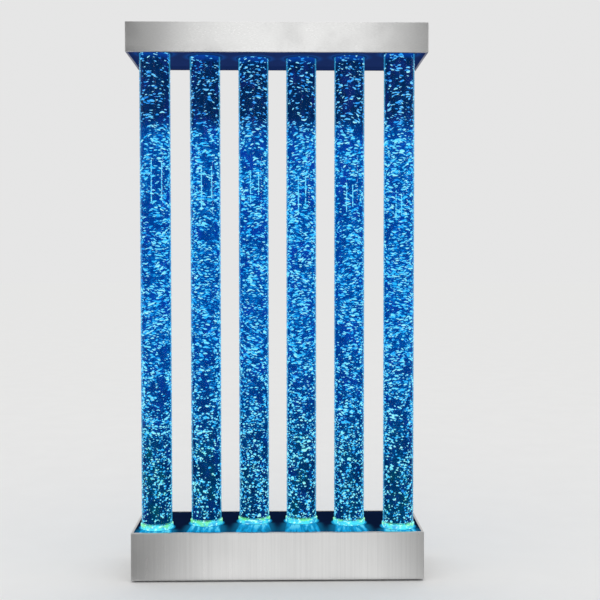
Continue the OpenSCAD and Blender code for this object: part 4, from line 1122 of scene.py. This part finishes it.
@dataclass(frozen=True)
class Spot:
    """A patch of the tube's wall where the bubbles thin out or crowd. Turns are in degrees from the front."""

    turn: float
    height: float
    wide: float
    tall: float
    gain: float

    def share(self, angle: np.ndarray, height: np.ndarray) -> np.ndarray:
        """Says how far each place lies in the patch.

        Args:
            angle: Angles round the tube.
            height: Heights in metres.

        Returns:
            A number from 0 to 1 for each place.
        """
        off = (np.degrees(angle) + 90.0 - self.turn + 180.0) % 360.0 - 180.0
        return np.exp(-((off / self.wide) ** 2 + ((height - self.height) / self.tall) ** 2) ** 2)


@dataclass(frozen=True)
class Chain:
    """Small bubbles that rise one behind another along the wall."""

    turn: float
    low: float
    high: float


@dataclass(frozen=True)
class TubeMood:
    """What sets one tube's bubbles apart: its seed, voids low down, green cast near the foot, spots and chains."""

    seed: int
    voids: float
    green: float
    spots: tuple
    chains: tuple


MOODS = {
    1: TubeMood(11, 0.2, 1.0, (Spot(9.0, 0.27, 13.0, 0.1, 1.1), Spot(-22.0, 0.25, 12.0, 0.09, -0.6)),
                (Chain(-9.0, 1.234, 1.377), Chain(32.0, 1.25, 1.37))),
    2: TubeMood(12, 0.6, 0.5, (Spot(21.0, 0.245, 15.0, 0.05, -1.0), Spot(13.0, 0.33, 12.0, 0.02, -0.9),
                               Spot(14.0, 0.405, 15.0, 0.022, -0.8), Spot(-30.0, 0.27, 13.0, 0.09, 0.4),
                               Spot(55.0, 0.27, 13.0, 0.09, 0.9)),
                (Chain(-12.0, 1.221, 1.362), Chain(29.0, 1.26, 1.365))),
    3: TubeMood(13, 0.25, 0.25, (Spot(26.0, 0.28, 10.0, 0.11, 0.9), Spot(-5.0, 0.27, 11.0, 0.06, -0.5)),
                (Chain(-11.0, 1.246, 1.344), Chain(21.5, 1.27, 1.34))),
    4: TubeMood(14, 0.35, 0.6, (Spot(20.0, 0.3, 14.0, 0.03, -0.6),),
                (Chain(-12.6, 1.205, 1.33), Chain(16.4, 1.24, 1.33))),
    5: TubeMood(15, 0.2, 0.4, (Spot(-8.0, 0.26, 16.0, 0.09, 0.7),),
                (Chain(-14.0, 1.214, 1.305), Chain(10.0, 1.23, 1.3))),
    6: TubeMood(16, 0.5, 0.7, (Spot(8.0, 0.25, 12.0, 0.05, -0.7),),
                (Chain(-17.0, 1.184, 1.277), Chain(4.0, 1.2, 1.275))),
}


def by_height(height: np.ndarray, levels: dict) -> np.ndarray:
    """Reads a value that changes up the tube.

    Args:
        height: Heights in metres.
        levels: The value at each of some heights, in order.

    Returns:
        The value at each height, on straight lines between them.
    """
    return np.interp(height, list(levels), list(levels.values()))


@dataclass
class BubbleShapes:
    """The rims and bends that make each bubble its own."""

    width: np.ndarray
    height: np.ndarray
    lean: np.ndarray
    rng: np.random.Generator
    depth: float = 1.9 * MM
    tilt: np.ndarray = field(init=False)
    bend: np.ndarray = field(init=False)
    wobble: np.ndarray = field(init=False)
    phase: np.ndarray = field(init=False)

    def __post_init__(self) -> None:
        """Draws each bubble's tilt, bend and wobble."""
        count = len(self.width)
        self.tilt = self.lean + self.rng.normal(0.0, 0.17, count)
        self.bend = self.rng.normal(0.2, 0.34, count)
        self.wobble = self.rng.uniform(0.0, 0.2, (2, count))
        self.phase = self.rng.uniform(0.0, FULL_TURN, (2, count))

    def bent(self, dome: DomeShape, chosen: np.ndarray) -> tuple:
        """Shapes the chosen bubbles.

        Args:
            dome: The dome that they are copied from.
            chosen: Which bubbles.

        Returns:
            For each point of each bubble: how far it stands out, across and up.
        """
        out, across, up = (dome.points[:, axis][None, :] for axis in range(3))
        round_ = np.arctan2(up, across)
        rim = 1.0
        for turns, wobble, phase in zip((2, 3), self.wobble, self.phase):
            rim = rim + wobble[chosen][:, None] * np.cos(turns * round_ + phase[chosen][:, None])
        width, height, tilt, bend = (
            values[chosen][:, None] for values in (self.width, self.height, self.tilt, self.bend))
        half = width / 2
        across = across * rim * half
        up = up * rim * height / 2 - bend * across ** 2 / half * 0.6
        c, s = np.cos(tilt), np.sin(tilt)
        return out * np.minimum(height * 0.5, self.depth), across * c - up * s, across * s + up * c


@dataclass(frozen=True)
class ClearFoot:
    """The sizes of a tube's turned foot. Levels are heights in the lamp, in metres."""

    low: float
    high: float
    collar: float
    bore: float
    tube_radius: float
    tube_bottom: float
    collar_top: float = 175.5 * MM
    plug_level: float = 161.5 * MM
    neck_level: float = 138.5 * MM
    barb_level: float = 127.2 * MM
    neck: float = 30 * MM
    stem: float = 5 * MM
    barb: float = 1.6 * MM
    barb_rim: float = 1.95 * MM
    barb_tip: float = 1.3 * MM
    airway: float = 0.9 * MM
    barbs: int = 3
    barb_pitch: float = 3.5 * MM
    barb_long: float = 2.9 * MM
    barb_back: float = 0.3 * MM
    seat_gap: float = 0.3 * MM
    rim_gap: float = 0.1 * MM
    ease: float = 0.35 * MM

    def outline(self) -> list:
        """Works out the foot's closed outline, down the outside and up the airway.

        Returns:
            Points (radius, height) in metres.
        """
        seat, rim = self.tube_bottom + self.seat_gap, self.tube_radius + self.rim_gap
        body = eased([(self.bore, self.high), (self.bore, seat), (rim, seat), (rim, self.collar_top),
                      (self.collar, self.collar_top), (self.collar, self.plug_level), (self.neck, self.plug_level),
                      (self.neck, self.neck_level), (self.stem, self.neck_level), (self.stem, self.barb_level)],
                     self.ease)
        barb = [(self.barb, self.barb_level)]
        for i in range(self.barbs):
            z = self.barb_level - (i + 1) * self.barb_pitch
            barb += [(self.barb, z + self.barb_back), (self.barb_rim, z), (self.barb, z - self.barb_long)]
        return body + barb[:-1] + [(self.barb_tip, self.low), (self.airway, self.low), (self.airway, self.high)]


@dataclass
class BubbleTube:
    """One tube: its clear wall, lit water, bubbles and glowing foot."""

    number: int
    finishes: Finishes
    radius: float = 50.8 * MM
    wall: float = 3.2 * MM
    water_overlap: float = 0.15 * MM
    water_sunk: float = 6 * MM
    water_ease: float = 1 * MM
    water_dome: float = 0.6 * MM
    water_rings: int = 240
    wall_ease: float = 0.4 * MM
    bubble_count: int = 5900
    tries_each: int = 9
    bubble_floor: float = 1 * MM
    bubble_brim: float = 3 * MM
    brim_clear: float = 0.5 * MM
    bubble_sunk: float = 0.3 * MM
    narrowest: float = 2.4 * MM
    widest: float = 20 * MM
    large_share: float = 0.08
    chain_step: float = 2.9 * MM
    chain_kept: float = 0.86
    chain_sway: float = 0.009
    chain_slip: float = 0.6 * MM
    chain_width: float = 0.42
    chain_flat: float = 1.1
    chain_glow: float = 0.72
    centre: tuple = field(init=False)
    bottom: float = field(init=False)
    top: float = field(init=False)
    water_low: float = field(init=False)
    water_high: float = field(init=False)
    mood: TubeMood = field(init=False)
    clouds: tuple = field(init=False)

    def __post_init__(self) -> None:
        """Reads the tube's place and height from the solids, and draws its clouds of bubbles."""
        low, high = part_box(f"acrylic_tube_{self.number}")
        self.centre = ((low.x + high.x) / 2, (low.y + high.y) / 2)
        self.bottom, self.top = low.z, high.z
        water_low, water_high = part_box("water_columns")
        self.water_low, self.water_high = water_low.z, water_high.z
        self.mood = MOODS[self.number]
        rng = np.random.default_rng(self.mood.seed)
        self.clouds = tuple(Drift(rng, self.water_low, self.water_high, rows, columns)
                            for rows, columns in CLOUD_GRIDS)

    @property
    def core_radius(self) -> float:
        """The water's radius, a touch into the wall so that no air shows between them."""
        return self.radius - self.wall + self.water_overlap

    def build(self) -> list:
        """Returns the tube's pieces, newly made."""
        return [self.clear_wall(), self.water(), self.bubbles(), self.foot()]

    def angle_of(self, x: np.ndarray, y: np.ndarray) -> np.ndarray:
        """Returns the angle round the tube of each place."""
        return np.arctan2(y - self.centre[1], x - self.centre[0])

    def clear_wall(self) -> bpy.types.Object:
        """Makes the clear tube with its polished rims.

        Returns:
            The piece.
        """
        inner, outer = self.radius - self.wall, self.radius
        outline = [(outer, self.bottom), (outer, self.top), (inner, self.top), (inner, self.bottom)]
        mesh = turned_mesh("clear_tube", eased(outline, self.wall_ease), self.centre)
        piece = linked_object(f"clear_tube_{self.number}", mesh, self.finishes.tube.material())
        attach(piece, "lamp")
        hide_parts(f"acrylic_tube_{self.number}")
        return piece

    def water(self) -> bpy.types.Object:
        """Makes the column of lit water, with the crowding of its bubbles kept at each point.

        Returns:
            The piece.
        """
        r, ease, rings = self.core_radius, self.water_ease, self.water_rings
        low, high = self.water_low - self.water_sunk, self.water_high
        side = [(r, low + ease + (high - low - 2 * ease) * i / rings) for i in range(rings + 1)]
        outline = [(0.0, low), (r - ease, low), *side, (r - ease, high), (0.0, high - self.water_dome)]
        mesh = turned_mesh("lit_water", outline, self.centre)
        spots = np.empty(len(mesh.vertices) * 3, np.float32)
        mesh.vertices.foreach_get("co", spots)
        x, y, z = spots.reshape(-1, 3).T
        keep_values(mesh, "crowd", self.crowding(self.angle_of(x, y), z))
        keep_values(mesh, "green", self.greenness(self.angle_of(x, y), z))
        piece = linked_object(f"lit_water_{self.number}", mesh, self.finishes.water.material())
        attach(piece, "lamp")
        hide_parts("water_columns")
        return piece

    def crowding(self, angle: np.ndarray, height: np.ndarray) -> np.ndarray:
        """Says how crowded the bubbles are at each place.

        Args:
            angle: Angles round the tube.
            height: Heights in metres.

        Returns:
            A number from 0 to 1 for each place.
        """
        wide, middling, fine = (cloud.at(angle, height) for cloud in self.clouds)
        value = 0.28 * wide + 0.36 * middling + 0.36 * fine
        most = by_height(height, {0.19: 0.8, 0.3: 0.8, 0.7: 0.95, 1.44: 0.95, 1.49: 0.75, 1.53: 0.4, 1.73: 0.46})
        low_down = by_height(height, {0.2: 0.7, 0.3: 1.0, 0.66: 0.8, 0.8: 0.0}) * self.mood.voids
        holes = np.clip((0.40 - (0.1 * wide + 0.45 * middling + 0.45 * fine)) / 0.05, 0.0, 1.0) * low_down
        crowd = most * np.clip((value - 0.24) / 0.34, 0.16, 1.0) * (1.0 - 0.97 * holes)
        for spot in self.mood.spots:
            crowd = crowd * np.clip(1.0 + spot.gain * spot.share(angle, height) * (0.7 + 0.6 * fine), 0.02, 2.2)
        return np.minimum(crowd, 1.0)

    def greenness(self, angle: np.ndarray, height: np.ndarray) -> np.ndarray:
        """Says how green the light is at each place, in a column up the front from the foot.

        Args:
            angle: Angles round the tube.
            height: Heights in metres.

        Returns:
            A number from 0 to 1 for each place.
        """
        wide, middling, _ = (cloud.at(angle + 1.0, height) for cloud in self.clouds)
        front = np.cos(angle + math.pi / 2 + 0.15 + 0.5 * (wide - 0.5))
        column = np.clip((front - 0.72) / 0.2, 0.0, 1.0) * by_height(height, {0.19: 1.0, 0.42: 0.8, 0.52: 0.0})
        patches = np.clip((middling - 0.62) / 0.16, 0.0, 1.0) * by_height(height, {0.19: 1.0, 0.3: 0.6, 0.6: 0.0})
        return np.clip(column * middling * 1.1 + patches, 0.0, 1.0) * self.mood.green

    def bubbles(self) -> bpy.types.Object:
        """Makes the bubbles against the wall: bent, flattened domes with wobbly rims.

        Returns:
            The piece.
        """
        rng = np.random.default_rng(self.mood.seed + BUBBLE_SEEDS)
        angle, height, scattered = self.bubble_places(rng)
        count = len(angle)
        chained = np.arange(count) >= scattered
        mean = by_height(height, {0.19: 5.0, 0.45: 6.3, 0.8: 9.4, 1.4: 10.0, 1.73: 9.4}) * MM
        width = np.clip(mean * rng.lognormal(0.0, 0.34, count), self.narrowest, self.widest)
        flat = by_height(height, {0.19: 0.82, 0.45: 0.56, 0.85: 0.32, 1.73: 0.34}) * rng.uniform(0.75, 1.25, count)
        width = np.where(chained, self.chain_width * mean, width)
        flat = np.where(chained, self.chain_flat, flat)
        lean = 0.95 * (self.clouds[1].at(angle + 2.0, height) - 0.5) * by_height(height, {0.3: 0.3, 0.7: 1.0})
        shapes = BubbleShapes(width, width * flat, np.where(chained, 0.0, lean), rng)
        glow = np.clip(0.1 + 1.06 * rng.beta(1.6, 1.05, count), 0.1, 1.14)
        glow = np.where(chained, np.maximum(glow, self.chain_glow), glow)
        points, faces, glows = self.bubble_mesh(shapes, angle, height, glow)
        mesh = triangle_mesh("lit_bubbles", points, faces)
        keep_values(mesh, "glow", glows)
        keep_values(mesh, "green", self.greenness(self.angle_of(points[:, 0], points[:, 1]), points[:, 2]))
        piece = linked_object(f"lit_bubbles_{self.number}", mesh, self.finishes.bubbles.material())
        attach(piece, "lamp")
        return piece

    def bubble_places(self, rng: np.random.Generator) -> tuple:
        """Draws where the bubbles are: scattered ones first, then the chains.

        Args:
            rng: The source of the tube's random numbers.

        Returns:
            Their angles round the tube, their heights in metres, and how many are scattered.
        """
        tries = self.bubble_count * self.tries_each
        angle = rng.random(tries) * 2 * math.pi
        height = rng.uniform(self.water_low + self.bubble_floor, self.water_high - self.bubble_brim, tries)
        fewer_high = by_height(height, {0.19: 1.0, 0.5: 0.95, 0.75: 0.72})
        kept = rng.random(tries) < self.crowding(angle, height) * fewer_high
        angle, height = angle[kept][: self.bubble_count], height[kept][: self.bubble_count]
        scattered = len(angle)
        for chain in self.mood.chains:
            rising = np.arange(chain.low, chain.high, self.chain_step)
            rising = rising[rng.random(len(rising)) < self.chain_kept]
            line = math.radians(chain.turn - 90.0)
            angle = np.append(angle, line + rng.normal(0.0, self.chain_sway, len(rising)))
            height = np.append(height, rising + rng.normal(0.0, self.chain_slip, len(rising)))
        return angle, height, scattered

    def bubble_mesh(self, shapes: BubbleShapes, angle: np.ndarray, height: np.ndarray, glow: np.ndarray) -> tuple:
        """Lays the bubbles on the wall, the widest as finer domes than the rest.

        Args:
            shapes: The bubbles' widths and bends.
            angle: Their angles round the tube.
            height: Their heights in metres.
            glow: How brightly each is lit.

        Returns:
            The points, the triangles, and the glow at each point.
        """
        order = np.argsort(-shapes.width)
        split = int(len(order) * self.large_share)
        points, faces, glows, start = [], [], [], 0
        for dome, chosen in ((DomeShape(*LARGE_DOME), order[:split]), (DomeShape(*SMALL_DOME), order[split:])):
            out, across, up = shapes.bent(dome, chosen)
            turn = angle[chosen][:, None] + across / self.core_radius
            far = self.core_radius - self.bubble_sunk + out
            up = np.clip(height[chosen][:, None] + up, self.water_low, self.water_high - self.brim_clear)
            spot = [self.centre[0] + far * np.cos(turn), self.centre[1] + far * np.sin(turn), up]
            points.append(np.stack(spot, 2).reshape(-1, 3))
            n = len(dome.points)
            firsts = (start + n * np.arange(len(chosen)))[:, None, None]
            faces.append((dome.faces[None] + firsts).reshape(-1, 3))
            glows.append(np.repeat(glow[chosen], n))
            start += n * len(chosen)
        return np.concatenate(points), np.concatenate(faces), np.concatenate(glows)

    def foot(self) -> bpy.types.Object:
        """Makes the clear turned foot: collar, spigot, neck, stem and barb.

        Returns:
            The piece.
        """
        low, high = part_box(f"tube_plug_{self.number}")
        foot = ClearFoot(low=low.z, high=high.z, collar=(high.x - low.x) / 2, bore=self.core_radius,
                         tube_radius=self.radius, tube_bottom=self.bottom)
        mesh = turned_mesh("clear_foot", foot.outline(), self.centre)
        piece = linked_object(f"clear_foot_{self.number}", mesh, self.finishes.foot.material())
        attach(piece, "lamp")
        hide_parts(f"tube_plug_{self.number}")
        return piece


# ---------- the solids that stay ----------


@dataclass
class SteelAndWorks:
    """The CAD solids that are shown as they are: boxes, frame, back panel, air and light parts."""

    frame: dict
    finishes: Finishes

    def dress(self) -> list:
        """Gives each shown CAD node its finish.

        Returns:
            The nodes' objects.
        """
        slots = {part["node"]: part["material_slot"] for part in self.frame["record"]["subparts"]}
        dressed = []
        for node, piece in sorted(self.frame["nodes"].items()):
            if piece.hide_render:
                continue
            material = self.finishes.of_node(node, slots[node]).material()
            piece.data.materials.clear()
            piece.data.materials.append(material)
            for polygon in piece.data.polygons:
                polygon.material_index = 0
            dressed.append(piece)
        return dressed


# ---------- the studio ----------


@dataclass
class SoftLamp:
    """A rectangular studio lamp. A fill lights surfaces, and a strip shows only in their gloss."""

    name: str
    role: Role
    place: tuple
    aim: tuple
    size: tuple
    power: float

    def build(self) -> bpy.types.Object:
        """Makes the lamp.

        Returns:
            The lamp's object.
        """
        data = bpy.data.lights.new(self.name, "AREA")
        data.shape = "RECTANGLE"
        data.size, data.size_y = self.size
        data.energy = self.power
        lamp = linked_object(self.name, data)
        lamp.location = self.place
        lamp.rotation_mode = "QUATERNION"
        lamp.rotation_quaternion = (Vector(self.aim) - Vector(self.place)).to_track_quat("-Z", "Y")
        lamp.visible_camera = False
        setattr(lamp, "visible_diffuse" if self.role is Role.STRIP else "visible_glossy", False)
        return lamp


@dataclass
class GradientBoard:
    """A reflector card that only shiny metal sees, bright in the middle and dark at its ends.

    Its ramps are the places along it where it starts to brighten, is bright, starts to darken and is dark.
    """

    name: str
    place: tuple
    size: tuple
    upright: bool
    ramps: tuple
    peak: float
    ends: float
    thick: float = 2 * MM

    def build(self) -> bpy.types.Object:
        """Makes the card.

        Returns:
            The card.
        """
        across, other = self.size[0] / 2, self.size[1] / 2
        half = (across, self.thick / 2, other) if self.upright else (across, other, self.thick / 2)
        corners = [(x * half[0], y * half[1], z * half[2]) for x in (-1, 1) for y in (-1, 1) for z in (-1, 1)]
        sides = [(0, 1, 3, 2), (4, 6, 7, 5), (0, 4, 5, 1), (2, 3, 7, 6), (0, 2, 6, 4), (1, 5, 7, 3)]
        mesh = bpy.data.meshes.new(self.name)
        mesh.from_pydata(corners, [], sides)
        card = linked_object(self.name, mesh, self.material())
        card.location = self.place
        for rays in ("visible_camera", "visible_diffuse", "visible_transmission", "visible_shadow"):
            setattr(card, rays, False)
        card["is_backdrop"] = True
        return card

    def material(self) -> bpy.types.Material:
        """Makes the card's material.

        Returns:
            The material.
        """
        material, graph, shader = bare_material(self.name)
        x = graph.split(graph.place())[0]
        dark_left, bright_left, bright_right, dark_right = self.ramps
        rise = graph.times(graph.fit(x, dark_left, bright_left), graph.fit(x, dark_right, bright_right))
        graph.feed(shader, Base_Color=BLACK, Specular_IOR_Level=0.0, Emission_Color=WHITE,
                   Emission_Strength=graph.fit(rise, 0.0, 1.0, self.ends, self.peak, smooth=False))
        return material


@dataclass
class Studio:
    """The pale floor, plain backdrop, soft lamps and the photograph's camera."""

    camera_place: tuple = (0.01353, -3.46881, 1.03398)
    focal_pixels: float = 1025.17
    pitch: float = 0.033834
    yaw: float = 0.017951
    roll: float = -0.000588
    backdrop: float = 0.79
    light: float = 0.9
    floor_radius: float = 60.0
    floor_top: float = -0.4 * MM
    floor_bottom: float = -20 * MM
    lamps: tuple = (
        SoftLamp("front softbox", Role.FILL, (0.05, -6.8, 3.2), (0.05, 0.0, 0.9), (2.6, 2.2), 30.0),
        SoftLamp("left strip", Role.STRIP, (-1.78, -4.1, 1.66), (-0.1, 0.0, 1.3), (0.4, 0.42), 2.0),
        SoftLamp("right strip", Role.STRIP, (3.9, -2.3, 1.66), (0.1, 0.0, 1.3), (0.4, 0.42), 12.0),
    )
    boards: tuple = (
        GradientBoard("upright board", (0.0, -6.2, 4.4), (8.0, 8.6), True, (-1.3, -0.82, 1.03, 1.36), 1.62, 0.01),
        GradientBoard("low board", (0.0, -0.72, 0.004), (1.6, 1.1), False, (-0.56, -0.16, 0.3, 0.64), 1.2, 0.3),
    )

    def build(self) -> None:
        """Makes the camera, the floor, the world, the lamps and the cards."""
        self.camera()
        self.floor()
        self.world()
        for thing in self.lamps + self.boards:
            thing.build()
        bpy.context.scene.view_settings.view_transform = "Standard"

    def camera(self) -> bpy.types.Object:
        """Makes the camera at the photograph's viewing angle.

        Returns:
            The camera.
        """
        data = bpy.data.cameras.new("photograph camera")
        data.sensor_width = SENSOR_WIDTH
        data.lens = self.focal_pixels * SENSOR_WIDTH / PHOTO_WIDTH
        data.clip_start, data.clip_end = 0.05, 200.0
        camera = linked_object("photograph camera", data)
        ahead = Vector((math.sin(self.yaw) * math.cos(self.pitch), math.cos(self.yaw) * math.cos(self.pitch),
                        -math.sin(self.pitch)))
        right = Vector((math.cos(self.yaw), -math.sin(self.yaw), 0.0))
        up = right.cross(ahead)
        turned_right = right * math.cos(self.roll) + up * math.sin(self.roll)
        turned_up = up * math.cos(self.roll) - right * math.sin(self.roll)
        turn = Matrix((turned_right, turned_up, -ahead)).transposed()
        camera.matrix_world = Matrix.Translation(self.camera_place) @ turn.to_4x4()
        bpy.context.scene.camera = camera
        return camera

    def floor(self) -> bpy.types.Object:
        """Makes the wide pale floor.

        Returns:
            The floor.
        """
        wide, top, bottom = self.floor_radius, self.floor_top, self.floor_bottom
        mesh = turned_mesh("floor", [(0.0, top), (wide, top), (wide, bottom), (0.0, bottom)], (0.0, 0.0), 64)
        material, graph, shader = bare_material("pale studio floor")
        cloud = graph.noise(graph.place(), 5.0, 4.0, 0.6)
        graph.feed(shader, Base_Color=graph.mix(cloud, (0.86, 0.86, 0.855), (0.9, 0.9, 0.895)), Roughness=0.9,
                   Specular_IOR_Level=0.0)
        floor = linked_object("floor", mesh, material)
        floor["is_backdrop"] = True
        return floor

    def world(self) -> bpy.types.World:
        """Makes the plain pale surroundings.

        Returns:
            The world.
        """
        world = bpy.data.worlds.new("pale studio")
        bpy.context.scene.world = world
        world.use_nodes = True
        world.node_tree.nodes.clear()
        graph = Graph(world.node_tree)
        rays = graph.add("ShaderNodeLightPath").outputs
        through = graph.math("MAXIMUM", rays["Is Glossy Ray"], rays["Is Transmission Ray"])
        seen = graph.math("MAXIMUM", rays["Is Camera Ray"], through)
        shade = graph.add("ShaderNodeBackground")
        graph.feed(shade.inputs, Color=WHITE,
                   Strength=graph.fit(seen, 0.0, 1.0, self.light, self.backdrop, smooth=False))
        graph.feed(graph.add("ShaderNodeOutputWorld").inputs, Surface=shade.outputs[0])
        return world


def main() -> None:
    """Loads the frame, then builds the studio and the lamp's pieces in order."""
    logging.basicConfig(level=logging.INFO, format="%(message)s")
    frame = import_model()
    Studio().build()
    LOG.info("studio built")
    centres = []
    for number in TUBE_NUMBERS:
        low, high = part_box(f"acrylic_tube_{number}")
        centres.append((round((low.x + high.x) / 2, 5), round((low.y + high.y) / 2, 5)))
    finishes = Finishes(tuple(centres))
    for number in TUBE_NUMBERS:
        for piece in BubbleTube(number, finishes).build():
            LOG.info("%s: %d faces", piece.name, len(piece.data.polygons))
    for piece in SteelAndWorks(frame, finishes).dress():
        LOG.info("%s dressed", piece.name)
    low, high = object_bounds()


if __name__ == "__main__":
    main()
